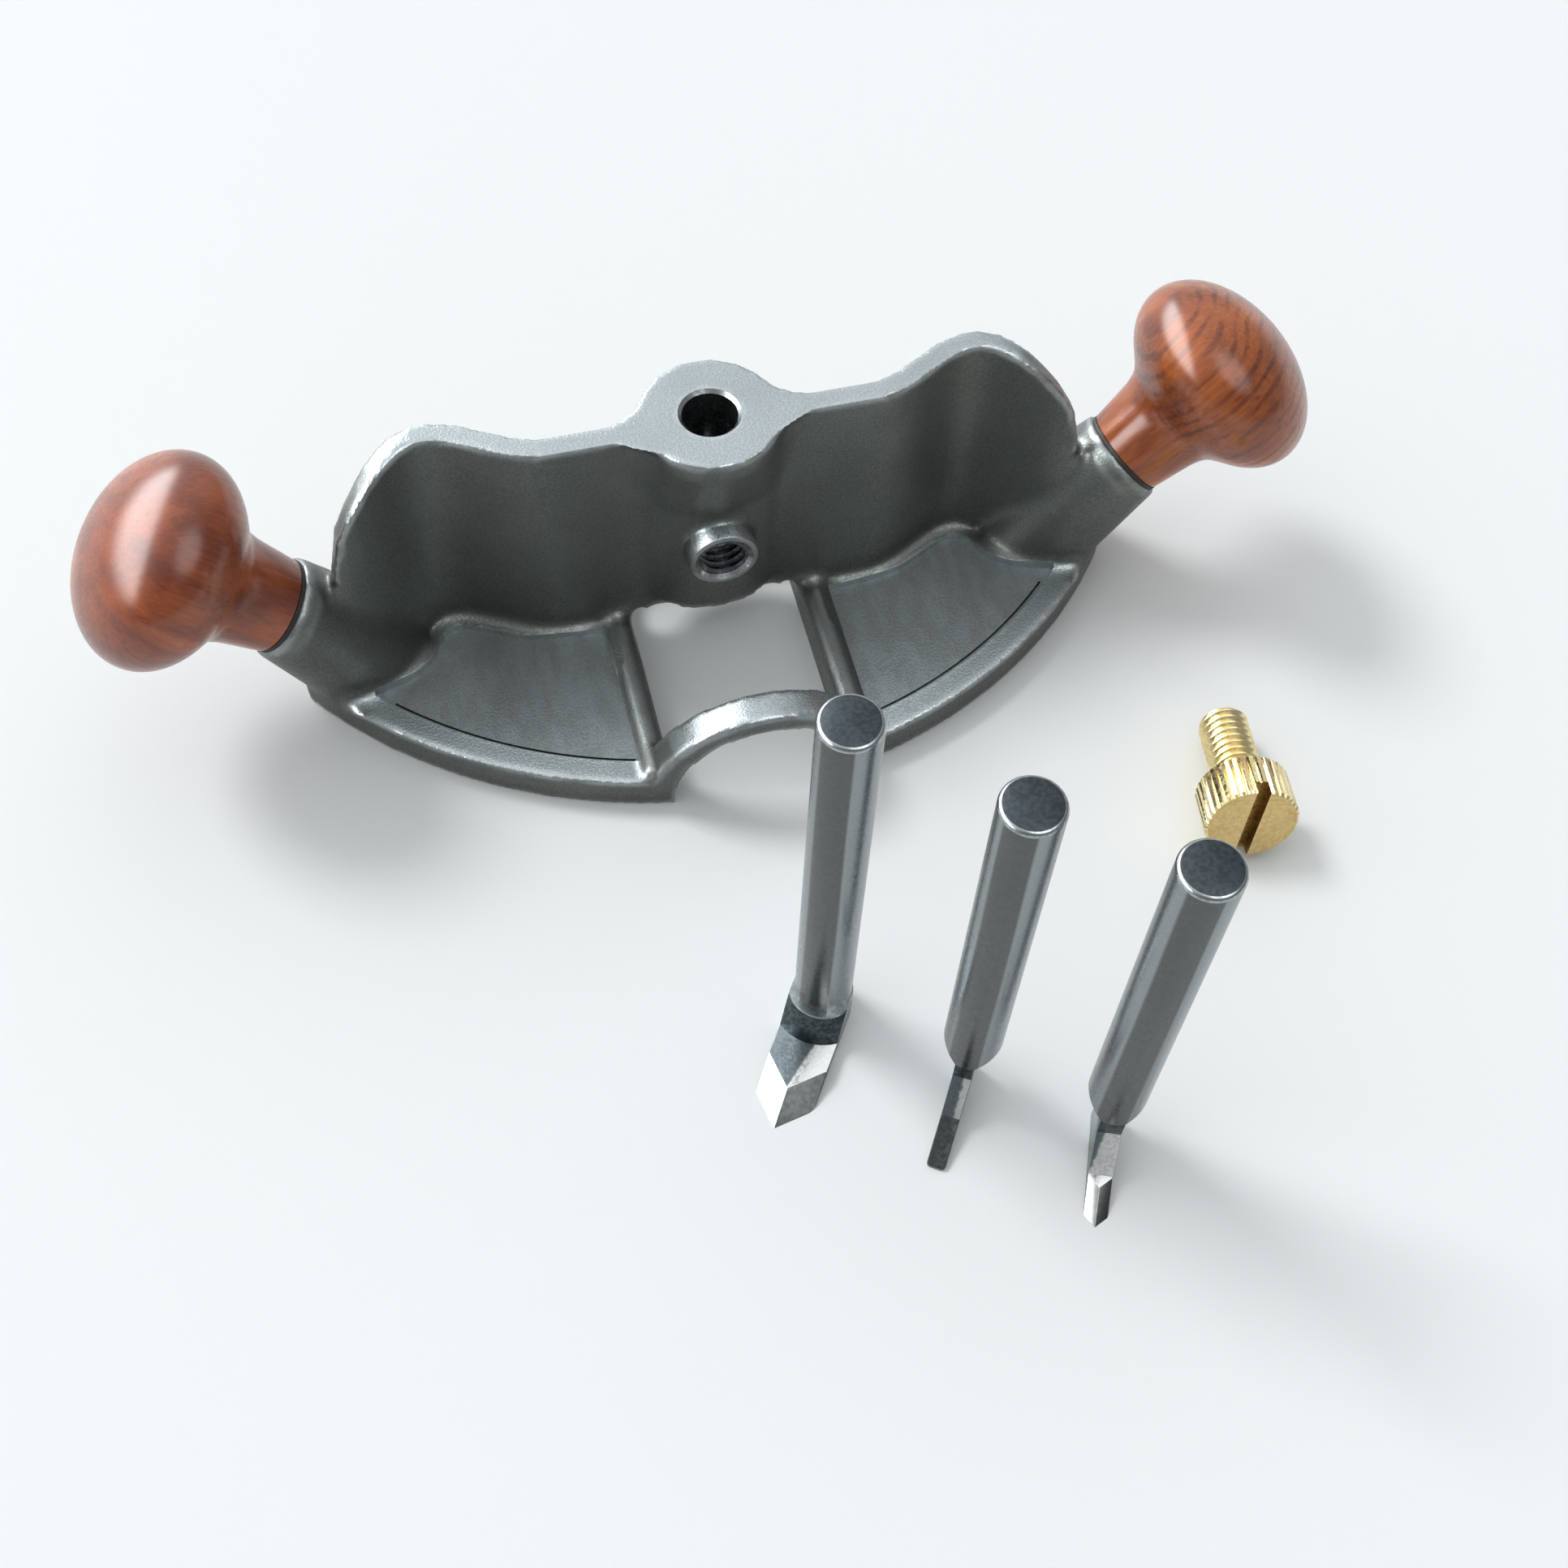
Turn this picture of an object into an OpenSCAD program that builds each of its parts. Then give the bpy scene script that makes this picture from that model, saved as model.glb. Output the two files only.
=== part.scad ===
// Hand router plane: a cast body with two wooden knobs, and its three cutters
// and clamp screw set out beside it on the table.
// The origin is the middle of the cutter bore's mouth, on the flat top of its boss.
// X runs along the wall to the right, Y runs to the rear and Z is up.

/* [Sole] */
// From the bore's axis to the front of the round edge
sole_front = 42.4; // [41:0.2:50]
// Half the width across the two ends
sole_half_w = 76; // [72:1:82]
// How far in front of the bore's axis the round edge starts at each end
sole_end = 4; // [2:1:6]
// From the bore's axis to the rear edge
sole_rear = 14; // [12:1:18]
// Radius of the two rear corners
sole_corner_r = 8; // [4:1:10]
// Height of the rim above the table
rim_h = 7; // [6:0.5:8]
// Width of the rim along the round edge
rim_w = 4.6; // [4:0.2:6]
// Depth of the two pockets below the rim
pocket_depth = 1.2; // [0.8:0.1:2]

/* [Throat] */
// Half the width of the opening that the cutter's foot works in
throat_half_w = 16; // [14:0.5:18]
// How far the opening runs behind the bore's axis
throat_rear = 7; // [6:0.5:9]
// Height of the wall's lower edge above the table
throat_h = 7; // [6.5:0.5:9]
// Radius of the opening's rear corners
throat_corner_r = 3; // [1:0.5:5]
// Width of the half-round rib on each side of the opening
rib_w = 5.2; // [4:0.2:6.4]
// Height of the ribs above the table
rib_h = 9; // [8.5:0.5:11]

/* [Front arch] */
// Clear height under the arch
arch_h = 19; // [14:0.5:22]
// Thickness of the arch at its top
arch_t = 4.4; // [3.6:0.2:8]
// Depth of the arch from front to rear
arch_d = 6; // [5:0.2:8]
// Width of each leg of the arch
arch_leg_w = 4.4; // [3:0.2:6]

/* [Wall] */
// Height of the wall and the cutter boss above the table
wall_h = 54; // [50:1:60]
// Thickness of the wall
wall_t = 4.2; // [3.4:0.2:5.4]
// Distance of the wall's middle in front of the bore's axis
wall_fore = 1.2; // [0:0.2:2]
// Distance of the wall's side bays behind the bore's axis
wall_aft = 6.3; // [4:0.1:7.5]
// Where the wall starts to curve back into each side bay
bay_start_x = 28; // [25:1:32]
// Where each side bay is deepest
bay_x = 48; // [45:1:52]
// Where the wall's top starts to fall towards the knob
drop_x = 50; // [46:1:56]
// Height that the wall's ends fall to
drop_z = 32; // [28:1:34]
// Where the wall's ends run into the knob sockets
wall_end_x = 67; // [65:0.5:69]

/* [Cutter boss] */
// Diameter of the boss around the cutter bore
boss_d = 24.4; // [22:0.2:27]
// Height of the boss's straight edge
boss_edge_h = 3.4; // [2:0.2:5]
// Radius that blends the boss into the wall
boss_blend_r = 9; // [6:0.5:12]
// Width of the column at the foot of the boss's taper
column_w = 26; // [23:0.5:30]
// Depth of the column at the foot of the boss's taper
column_d = 15; // [14:0.2:18]
// Height over which the boss tapers into the column
column_taper_h = 14; // [8:1:20]
// Height of the column's lower end above the table
column_z = 9.5; // [9.2:0.1:12]
// Clearance of a cutter's shank in its bore, all round
bore_clear = 0.04; // [0.02:0.01:0.05]
// Chamfer at the bore's mouth
bore_chamfer = 0.6; // [0.2:0.1:1]

/* [Clamp screw boss] */
// Height of the clamp screw's axis above the table
screw_z = 28; // [25:0.5:31]
// Distance of the boss's face in front of the bore's axis
screw_boss_out = 11.2; // [10.4:0.2:14]
// Diameter of the boss
screw_boss_d = 12.4; // [11.6:0.1:14]
// Chamfer at the mouth of the threaded hole
screw_hole_chamfer = 0.7; // [0.3:0.1:1]

/* [Knob sockets] */
// Distance of each socket's mouth from the bore's axis, along the wall
socket_x = 76.5; // [72:0.5:80]
// Distance of each socket's mouth in front of the bore's axis
socket_fore = 3.8; // [2:0.2:5]
// Height of each socket's mouth above the table
socket_z = 28.3; // [26:0.5:32]
// How far each knob leans up from level
knob_rise = 41.3; // [36:0.1:48]
// How far each knob swings to the rear
knob_swing = 7.5; // [0:0.5:10]
// Diameter of the socket at its mouth
socket_d = 18; // [17.4:0.2:21]
// Length of the socket's straight mouth
socket_mouth_l = 3; // [2:0.5:5]
// Diameter of the socket's foot on the sole
socket_foot_d = 22; // [20:0.5:24]
// Distance of the socket's foot from the bore's axis, along the wall
socket_foot_x = 64; // [62:0.5:66]
// Distance of the socket's foot behind the bore's axis
socket_foot_aft = 2; // [0:0.5:3]

/* [Knobs] */
// Diameter of the head
knob_d = 37.7; // [34:0.1:42]
// Thickness of the head along its axis
knob_head_l = 24.6; // [22:0.2:30]
// From the socket's mouth to the middle of the head
knob_reach = 22.2; // [20:0.2:26]
// Diameter of the neck at the socket
neck_d = 16.8; // [15:0.2:17.2]
// Diameter of the neck where it meets the head
neck_top_d = 20; // [17.6:0.2:21]
// Thickness of the washer under each knob
washer_t = 0.6; // [0.4:0.1:1]
// Diameter of the stud that holds each knob
stud_d = 6; // [5:0.5:7]
// Length of the stud inside the knob
stud_out_l = 16; // [12:0.5:18]
// Length of the stud inside the socket
stud_in_l = 15; // [10:0.5:16]
// Diameter of the threaded insert inside each knob
insert_d = 9.5; // [8.5:0.5:11]
// Clearance all round the stud
stud_clear = 0.05; // [0.03:0.01:0.1]
// Clearance all round the insert
insert_clear = 0.02; // [0.01:0.01:0.05]
// Clearance of the washer around the stud
washer_clear = 0.3; // [0.1:0.1:0.6]

/* [Cutter shanks] */
// Height of each cutter
cutter_h = 86.7; // [76:0.1:96]
// Diameter of each shank
shank_d = 9.5; // [9:0.1:10]
// Chamfer at the top of each shank
shank_chamfer = 0.9; // [0.4:0.1:1.4]
// Angle between a point's two edges
point_angle = 90; // [70:1:100]
// Slope of a point's bevels
bevel_angle = 30; // [25:1:36]

/* [Spear cutter] */
// Reach of the tip from the shank's axis
spear_reach = 23.6; // [20:0.1:26]
// Height of the collar under the shank
spear_collar_h = 7.2; // [5.6:0.1:8]
// How far the collar stands out around the shank
spear_collar_extra = 0.3; // [0.1:0.1:0.6]
// Distance of the collar's front lip from the shank's axis
spear_lip = 5.6; // [5.4:0.1:7.4]
// Where the sloped band below the lip ends
spear_band_end = 8.5; // [7.6:0.1:10]
// Height of the level ground facet
spear_facet_h = 2.6; // [2:0.1:3.6]

/* [Narrow cutters] */
// Height of the narrow cutters' shanks above the table
narrow_shank_z = 12.8; // [10:0.1:14]
// Height over which a narrow cutter's shank tapers to its leg
narrow_taper_h = 3.4; // [2.5:0.1:4]
// From the shank's axis to the front of the leg
leg_front = 4.4; // [3.4:0.1:4.4]
// From the shank's axis to the rear of the leg
leg_rear = 2.2; // [1.5:0.1:4.4]
// Height at which the leg starts to slope into the foot
leg_knee_z = 8.6; // [6:0.1:9.5]
// Where the slope ends and the foot's ground face starts
foot_start = 9.1; // [7:0.1:10]
// Reach of the square cutter's toe from its shank's axis
square_reach = 17.2; // [15:0.1:19]
// Width of the square cutter's foot
square_w = 3.1; // [2.6:0.1:4]
// Height of the square cutter's foot at the start of its ground face
square_foot_h = 3; // [2.4:0.1:4]
// Thickness that is left at the square toe
square_toe_t = 0.8; // [0.4:0.1:1.2]
// Reach of the pointed cutter's tip from its shank's axis
point_reach = 17.1; // [15:0.1:19]
// Width of the pointed cutter's foot
point_w = 3.9; // [3:0.1:4.4]
// Height of the pointed cutter's level foot
point_foot_h = 2.4; // [1.8:0.1:3.4]

/* [Clamp screw] */
// Diameter of the thread
thread_d = 9; // [8:0.5:9.5]
// Length of the thread
thread_l = 16.5; // [13:0.5:20]
// Clearance all round the thread in its hole
thread_clear = 0.05; // [0.03:0.01:0.1]
// Chamfer at the thread's end
thread_chamfer = 0.8; // [0.4:0.1:1.2]
// Diameter of the knurled head
screw_head_d = 16.4; // [14:0.1:20]
// Thickness of the knurled head
screw_head_t = 9; // [7:0.5:12]
// Number of teeth in the knurl
knurl_teeth = 36; // [28:1:60]
// Depth of the knurl
knurl_depth = 0.4; // [0.2:0.1:0.6]
// Width of the driver slot
slot_w = 2.4; // [1.5:0.1:3]
// Depth of the driver slot
slot_depth = 2.3; // [1.5:0.1:3.5]

/* [Layout on the table] */
// Place of the spear cutter's shank
spear_at = [-0.9, -85.4]; // [-150:0.1:150]
// Direction of the spear cutter's foot
spear_turn = 236; // [200:0.5:270]
// Place of the square cutter's shank
square_at = [18.7, -103.2]; // [-150:0.1:150]
// Direction of the square cutter's foot
square_turn = 237.5; // [200:0.5:270]
// Place of the pointed cutter's shank
point_at = [38, -117.5]; // [-150:0.1:150]
// Direction of the pointed cutter's foot
point_turn = 247; // [200:0.5:270]
// Place of the middle of the clamp screw's face
screw_at = [78.9, -74]; // [-150:0.1:150]
// How far the lying clamp screw turns from straight back
screw_turn = 11.3; // [0:0.1:30]
// Turn of the driver slot about the clamp screw's axis
slot_turn = 95.5; // [0:0.5:180]

/* [Hidden] */
$fn = 72;

// How finely curves are drawn: sides of wide circles and of hulls, the step along the wall,
// the error of an arc's chords and the steps along a knob.
wide_sides = 180;
hull_sides = 32;
curve_step = 2.5;
arc_error = 0.02;
knob_steps = 20;
// A cut runs past the faces that it opens by this much, and a joined edge by a tenth of it.
over = 1;
eps = over / 10;

// The sole's round edge is a circle through the front and the two ends.
edge_r = ((sole_front - sole_end) ^ 2 + sole_half_w ^ 2) / (2 * (sole_front - sole_end));
edge_y = edge_r - sole_front;
rim_r = edge_r - rim_w;
rib_x = throat_half_w + rib_w / 2;
rib_outer_x = throat_half_w + rib_w;
floor_h = rim_h - pocket_depth;

bore_r = shank_d / 2 + bore_clear;
boss_r = boss_d / 2;
wall_front_y = -wall_fore - wall_t / 2;
wall_rear_y = -wall_fore + wall_t / 2;

stud_hole_r = stud_d / 2 + stud_clear;
insert_hole_r = insert_d / 2 + insert_clear;
insert_l = stud_out_l - washer_t;

// The clamp screw lies on its head's edge and its thread's end.
thread_hole_r = thread_d / 2 + thread_clear;
screw_tilt = atan((screw_head_d - thread_d) / (2 * thread_l));
screw_face_z = screw_head_t * sin(screw_tilt) + screw_head_d / 2 * cos(screw_tilt);

// Points of an arc about a centre.
function arc(c, r, from, to) =
    let (n = ceil(abs(to - from) / (2 * acos(1 - arc_error / r))))
    [for (i = [0:n]) let (a = from + (to - from) * i / n) c + r * [cos(a), sin(a)]];

// A smooth step from one value to another.
function ease(from, to, t) = from + (to - from) * (1 - cos(180 * t)) / 2;

// The wall's middle line in plan: level at the bore, back into a bay, then forward to the knob.
function wall_y(x) =
    let (u = abs(x))
    u < bay_start_x ? -wall_fore
    : u < bay_x ? ease(-wall_fore, wall_aft, (u - bay_start_x) / (bay_x - bay_start_x))
    : u < wall_end_x ? ease(wall_aft, -socket_fore, (u - bay_x) / (wall_end_x - bay_x))
    : -socket_fore;

function wall_slope(x) = (wall_y(x + eps) - wall_y(x - eps)) / (2 * eps);

// A point of the wall's face at a distance from its middle line.
function wall_face(x, off) =
    let (s = wall_slope(x)) [x, wall_y(x)] + off * [-s, 1] / sqrt(1 + s * s);

function steps(from, to) =
    let (n = ceil(abs(to - from) / curve_step)) [for (i = [0:n]) from + (to - from) * i / n];

// Height of the wall's top edge along its length: level, then a quarter of an ellipse.
function top_z(x) =
    abs(x) <= drop_x ? wall_h
    : drop_z + (wall_h - drop_z) * sqrt(max(0, 1 - ((abs(x) - drop_x) / (wall_end_x - drop_x)) ^ 2));

function scaled(pts, by) = [for (p = pts) [p.x * by.x, p.y * by.y]];

function reversed(pts) = [for (i = [len(pts) - 1:-1:0]) pts[i]];

// A list without its first points and its last points.
function trimmed(pts, first, last) = [for (i = [first:len(pts) - 1 - last]) pts[i]];

// Half an ellipse above its base line.
function half_ellipse(half_w, h) =
    let (r = max(half_w, h)) scaled(arc([0, 0], r, 0, 180), [half_w / r, h / r]);

// Right half of the boss's outline: a round boss that runs into the wall's faces in hollow curves.
function boss_half() =
    let (
        reach = boss_r + boss_blend_r,
        front_c = [sqrt(reach ^ 2 - (wall_front_y - boss_blend_r) ^ 2), wall_front_y - boss_blend_r],
        rear_c = [sqrt(reach ^ 2 - (wall_rear_y + boss_blend_r) ^ 2), wall_rear_y + boss_blend_r],
        front_a = atan2(front_c.y, front_c.x),
        rear_a = atan2(rear_c.y, rear_c.x)
    )
    concat(
        arc([0, 0], boss_r, -90, front_a),
        trimmed(arc(front_c, boss_blend_r, front_a + 180, 90), 1, 0),
        arc(rear_c, boss_blend_r, 270, rear_a + 180),
        trimmed(arc([0, 0], boss_r, rear_a, 90), 1, 0)
    );

boss_outline = concat(boss_half(), scaled(reversed(trimmed(boss_half(), 1, 1)), [-1, 1]));

// Moves a piece from the table's level to the shared frame.
module on_table() {
    translate([0, 0, -wall_h]) children();
}

// Puts a piece on a knob's axis, with Z from the socket's mouth out through the knob.
module on_knob_axis(side) {
    mirror([side < 0 ? 1 : 0, 0, 0])
        translate([socket_x, -socket_fore, socket_z])
            rotate([0, 90 - knob_rise, knob_swing])
                children();
}

// Stands a cutter at its place on the table, with its foot along X.
module at_place(place, turn) {
    on_table() translate(concat(place, 0)) rotate([0, 0, turn]) children();
}

// Lays a shape that is drawn in X and Z across Y.
module across(depth) {
    rotate([90, 0, 0]) linear_extrude(height = depth, center = true) children();
}

module sole_blank() {
    intersection() {
        translate([0, edge_y, 0]) cylinder(r = edge_r, h = rim_h, $fn = wide_sides);
        linear_extrude(height = rim_h)
            polygon(concat(
                [[-sole_half_w, -sole_front - over], [sole_half_w, -sole_front - over]],
                arc([sole_half_w - sole_corner_r, sole_rear - sole_corner_r], sole_corner_r, 0, 90),
                arc([sole_corner_r - sole_half_w, sole_rear - sole_corner_r], sole_corner_r, 90, 180)
            ));
    }
}

// A pocket runs from its rib out to the socket's foot, between the wall and the rim.
module pocket() {
    translate([0, 0, floor_h])
        linear_extrude(height = rim_h)
            polygon(concat(
                [for (x = steps(rib_outer_x, socket_foot_x)) [x, wall_y(x)]],
                arc([0, edge_y], rim_r, -acos(socket_foot_x / rim_r), -acos(rib_outer_x / rim_r))
            ));
}

// The opening that the cutter's foot works in, from below the sole up to a height.
module throat_cut(top) {
    corner = [throat_half_w - throat_corner_r, throat_rear - throat_corner_r];
    translate([0, 0, -over])
        linear_extrude(height = top + over)
            polygon(concat(
                [[-throat_half_w, -sole_front - over], [throat_half_w, -sole_front - over]],
                arc(corner, throat_corner_r, 0, 90),
                arc([-corner.x, corner.y], throat_corner_r, 90, 180)
            ));
}

module sole() {
    difference() {
        sole_blank();
        pocket();
        mirror([1, 0, 0]) pocket();
        throat_cut(rim_h + over);
    }
}

module ribs() {
    round_z = rib_h - rib_w / 2;
    rib_l = sole_front - rim_w + over;
    for (side = [-1, 1])
        translate([side * rib_x, -rib_l, 0]) {
            translate([-rib_w / 2, 0, 0]) cube([rib_w, rib_l, round_z]);
            translate([0, 0, round_z]) rotate([-90, 0, 0]) cylinder(d = rib_w, h = rib_l);
        }
}

module front_arch() {
    outer_h = arch_h + arch_t;
    intersection() {
        difference() {
            translate([0, edge_y, 0]) cylinder(r = edge_r, h = outer_h, $fn = wide_sides);
            translate([0, edge_y, -over])
                cylinder(r = edge_r - arch_d, h = outer_h + 2 * over, $fn = wide_sides);
        }
        translate([0, -sole_front, 0])
            across(sole_front)
                polygon(concat(
                    half_ellipse(throat_half_w + arch_leg_w, outer_h),
                    reversed(half_ellipse(throat_half_w, arch_h))
                ));
    }
}

// The wall is a wavy band in plan, cut to its side view and open over the throat.
module wall() {
    xs = steps(-wall_end_x, wall_end_x);
    difference() {
        intersection() {
            linear_extrude(height = wall_h)
                polygon(concat(
                    [for (x = xs) wall_face(x, wall_t / 2)],
                    reversed([for (x = xs) wall_face(x, -wall_t / 2)])
                ));
            across(2 * (sole_rear + sole_front))
                polygon(concat(
                    [[wall_end_x + wall_t, 0], [-wall_end_x - wall_t, 0]],
                    [for (x = steps(-wall_end_x, -drop_x)) [x, top_z(x)]],
                    [for (x = steps(drop_x, wall_end_x)) [x, top_z(x)]]
                ));
        }
        throat_cut(throat_h);
    }
}

// A solid through one outline at rising levels, each given as its height and its scale.
module lofted(outline, levels) {
    n = len(outline);
    top = n * (len(levels) - 1);
    points = [for (level = levels) for (p = scaled(outline, level[1])) [p.x, p.y, level[0]]];
    sides = [for (j = [0:n:top - n]) for (i = [0:n - 1])
        let (a = j + i, b = j + (i + 1) % n)
        each [[a, a + n, b + n], [a, b + n, b]]];
    polyhedron(points, concat([[for (i = [0:n - 1]) i]], [[for (i = [n - 1:-1:0]) top + i]], sides));
}

// The boss has a straight edge, tapers quickly and then runs down as a column.
module cutter_boss() {
    edge_z = wall_h - boss_edge_h;
    column = [column_w / boss_d, column_d / boss_d];
    difference() {
        lofted(boss_outline, [
            [column_z - over, column],
            [edge_z - column_taper_h, column],
            [edge_z, [1, 1]],
            [wall_h, [1, 1]]
        ]);
        translate([0, 0, column_z - boss_d])
            linear_extrude(height = boss_d) square(2 * sole_half_w, center = true);
    }
}

module screw_boss() {
    translate([0, 0, screw_z]) rotate([90, 0, 0]) cylinder(d = screw_boss_d, h = screw_boss_out);
}

module screw_hole() {
    translate([0, 0, screw_z]) rotate([90, 0, 0]) {
        cylinder(r = thread_hole_r, h = screw_boss_out + over);
        translate([0, 0, screw_boss_out - screw_hole_chamfer])
            cylinder(r1 = thread_hole_r, r2 = thread_hole_r + screw_hole_chamfer + eps,
                     h = screw_hole_chamfer + eps);
    }
}

module cutter_bore() {
    translate([0, 0, column_z - over]) cylinder(r = bore_r, h = wall_h - column_z + 2 * over);
    translate([0, 0, wall_h - bore_chamfer])
        cylinder(r1 = bore_r, r2 = bore_r + bore_chamfer + eps, h = bore_chamfer + eps);
}

module socket(side) {
    hull() {
        on_knob_axis(side)
            translate([0, 0, -socket_mouth_l]) cylinder(d = socket_d, h = socket_mouth_l, $fn = hull_sides);
        translate([side * socket_foot_x, socket_foot_aft, 0])
            cylinder(d = socket_foot_d, h = rim_h, $fn = hull_sides);
    }
}

module stud_hole(side) {
    on_knob_axis(side)
        translate([0, 0, -stud_in_l - stud_clear]) cylinder(r = stud_hole_r, h = stud_in_l + over);
}

module body_casting() {
    color("slategray") on_table() difference() {
        union() {
            sole();
            wall();
            ribs();
            front_arch();
            cutter_boss();
            screw_boss();
            for (side = [-1, 1]) socket(side);
        }
        cutter_bore();
        screw_hole();
        for (side = [-1, 1]) stud_hole(side);
    }
}

// Half section of a knob: a neck that flares into a flattened round head.
function knob_section() =
    let (
        neck_r = neck_d / 2,
        top_r = neck_top_d / 2,
        head_r = knob_d / 2,
        half_l = knob_head_l / 2,
        join_a = -acos(top_r / head_r),
        join_z = knob_reach + half_l * sin(join_a),
        floor_z = washer_t + insert_l
    )
    concat(
        [[0, floor_z], [insert_hole_r, floor_z], [insert_hole_r, washer_t]],
        [[neck_r, washer_t], [top_r, join_z]],
        [for (i = [1:knob_steps]) let (a = join_a + (90 - join_a) * i / knob_steps)
            [head_r * cos(a), knob_reach + half_l * sin(a)]]
    );

module knob(side) {
    color("sienna") on_table() on_knob_axis(side) rotate_extrude() polygon(knob_section());
}

module knob_insert(side) {
    color("goldenrod") on_table() on_knob_axis(side)
        translate([0, 0, washer_t]) difference() {
            cylinder(d = insert_d, h = insert_l);
            translate([0, 0, -over]) cylinder(r = stud_hole_r, h = insert_l + 2 * over);
        }
}

module knob_stud(side) {
    color("silver") on_table() on_knob_axis(side)
        translate([0, 0, -stud_in_l]) cylinder(d = stud_d, h = stud_in_l + stud_out_l - stud_clear);
}

module knob_washer(side) {
    color("dimgray") on_table() on_knob_axis(side) difference() {
        cylinder(d = neck_d, h = washer_t);
        translate([0, 0, -over]) cylinder(r = stud_d / 2 + washer_clear, h = washer_t + 2 * over);
    }
}

// A round shank from a height above the table up to its chamfered top.
module shank(from_z) {
    straight = cutter_h - shank_chamfer - from_z;
    translate([0, 0, from_z]) {
        cylinder(d = shank_d, h = straight);
        translate([0, 0, straight])
            cylinder(d1 = shank_d, d2 = shank_d - 2 * shank_chamfer, h = shank_chamfer);
    }
}

// Cuts a foot to a point in plan, with a bevel that rises from each edge to the foot's top.
module point_cut(reach, top_h) {
    big = 2 * reach;
    bevel_l = (top_h + eps) / sin(bevel_angle);
    for (side = [-1, 1])
        translate([reach, 0, 0])
            rotate([0, 0, side * (180 - point_angle / 2)])
                rotate([side * bevel_angle, 0, 0])
                    translate([-big, side > 0 ? -big : -bevel_l, 0])
                        cube([2 * big, big + bevel_l, big]);
}

// The spear's foot: a collar with a lip, a round sloped band, a ground facet and the point.
module spear_foot() {
    collar_r = shank_d / 2 + spear_collar_extra;
    difference() {
        intersection() {
            union() {
                across(2 * collar_r)
                    polygon([
                        [-collar_r, 0], [spear_reach, 0],
                        [spear_reach, spear_facet_h], [-collar_r, spear_facet_h]
                    ]);
                translate([0, 0, spear_facet_h])
                    cylinder(r1 = spear_band_end, r2 = spear_lip, h = spear_collar_h - spear_facet_h);
            }
            union() {
                cylinder(r = collar_r, h = spear_collar_h);
                translate([0, -collar_r, 0]) cube([spear_reach, 2 * collar_r, spear_collar_h]);
            }
        }
        point_cut(spear_reach, spear_facet_h);
    }
}

module spear_cutter() {
    color("lightgray") at_place(spear_at, spear_turn) {
        shank(spear_collar_h);
        spear_foot();
    }
}

// The two narrow cutters share a shank that tapers to a thin leg and runs out into a foot.
module narrow_blank(reach, width, start_h, toe_h) {
    r = shank_d / 2;
    shoulder_z = narrow_shank_z + narrow_taper_h;
    shank(shoulder_z);
    intersection() {
        translate([0, 0, narrow_shank_z]) cylinder(d = shank_d, h = narrow_taper_h);
        rotate([0, 0, 90]) across(shank_d)
            polygon([
                [-width / 2, narrow_shank_z], [width / 2, narrow_shank_z],
                [r, shoulder_z], [-r, shoulder_z]
            ]);
    }
    across(width)
        polygon([
            [-leg_rear, 0], [reach, 0], [reach, toe_h], [foot_start, start_h],
            [leg_front, leg_knee_z], [leg_front, narrow_shank_z], [-leg_rear, narrow_shank_z]
        ]);
}

module square_cutter() {
    color("lightgray") at_place(square_at, square_turn)
        narrow_blank(square_reach, square_w, square_foot_h, square_toe_t);
}

module point_cutter() {
    color("lightgray") at_place(point_at, point_turn)
        difference() {
            narrow_blank(point_reach, point_w, point_foot_h, point_foot_h);
            point_cut(point_reach, point_foot_h);
        }
}

module knurled_head() {
    r = screw_head_d / 2;
    linear_extrude(height = screw_head_t)
        polygon([for (i = [0:2 * knurl_teeth - 1])
            (r - (i % 2) * knurl_depth) * [cos(180 * i / knurl_teeth), sin(180 * i / knurl_teeth)]]);
}

module clamp_screw() {
    straight = thread_l - thread_chamfer;
    color("gold") on_table()
        translate([screw_at.x, screw_at.y, screw_face_z])
            rotate([-90 - screw_tilt, 0, -screw_turn]) {
                difference() {
                    knurled_head();
                    rotate([0, 0, slot_turn])
                        translate([-screw_head_d, -slot_w / 2, -over])
                            cube([2 * screw_head_d, slot_w, slot_depth + over]);
                }
                translate([0, 0, screw_head_t]) cylinder(d = thread_d, h = straight);
                translate([0, 0, screw_head_t + straight])
                    cylinder(d1 = thread_d, d2 = thread_d - 2 * thread_chamfer, h = thread_chamfer);
            }
}

body_casting();
knob(-1);  // left_knob
knob_insert(-1);  // left_knob_insert
knob_stud(-1);  // left_knob_stud
knob_washer(-1);  // left_knob_washer
knob(1);  // right_knob
knob_insert(1);  // right_knob_insert
knob_stud(1);  // right_knob_stud
knob_washer(1);  // right_knob_washer
spear_cutter();
square_cutter();
point_cutter();
clamp_screw();
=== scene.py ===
"""Hand router plane, set out in its pieces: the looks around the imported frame."""

import logging
import math
from collections.abc import Callable, Sequence
from dataclasses import dataclass
from enum import Enum
from functools import cache

import bmesh
import bpy
from bmesh.types import BMEdge, BMesh, BMFace, BMVert
from bpy.types import Material, Node, NodeSocket, NodeTree, Object
from mathutils import Matrix, Vector


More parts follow.
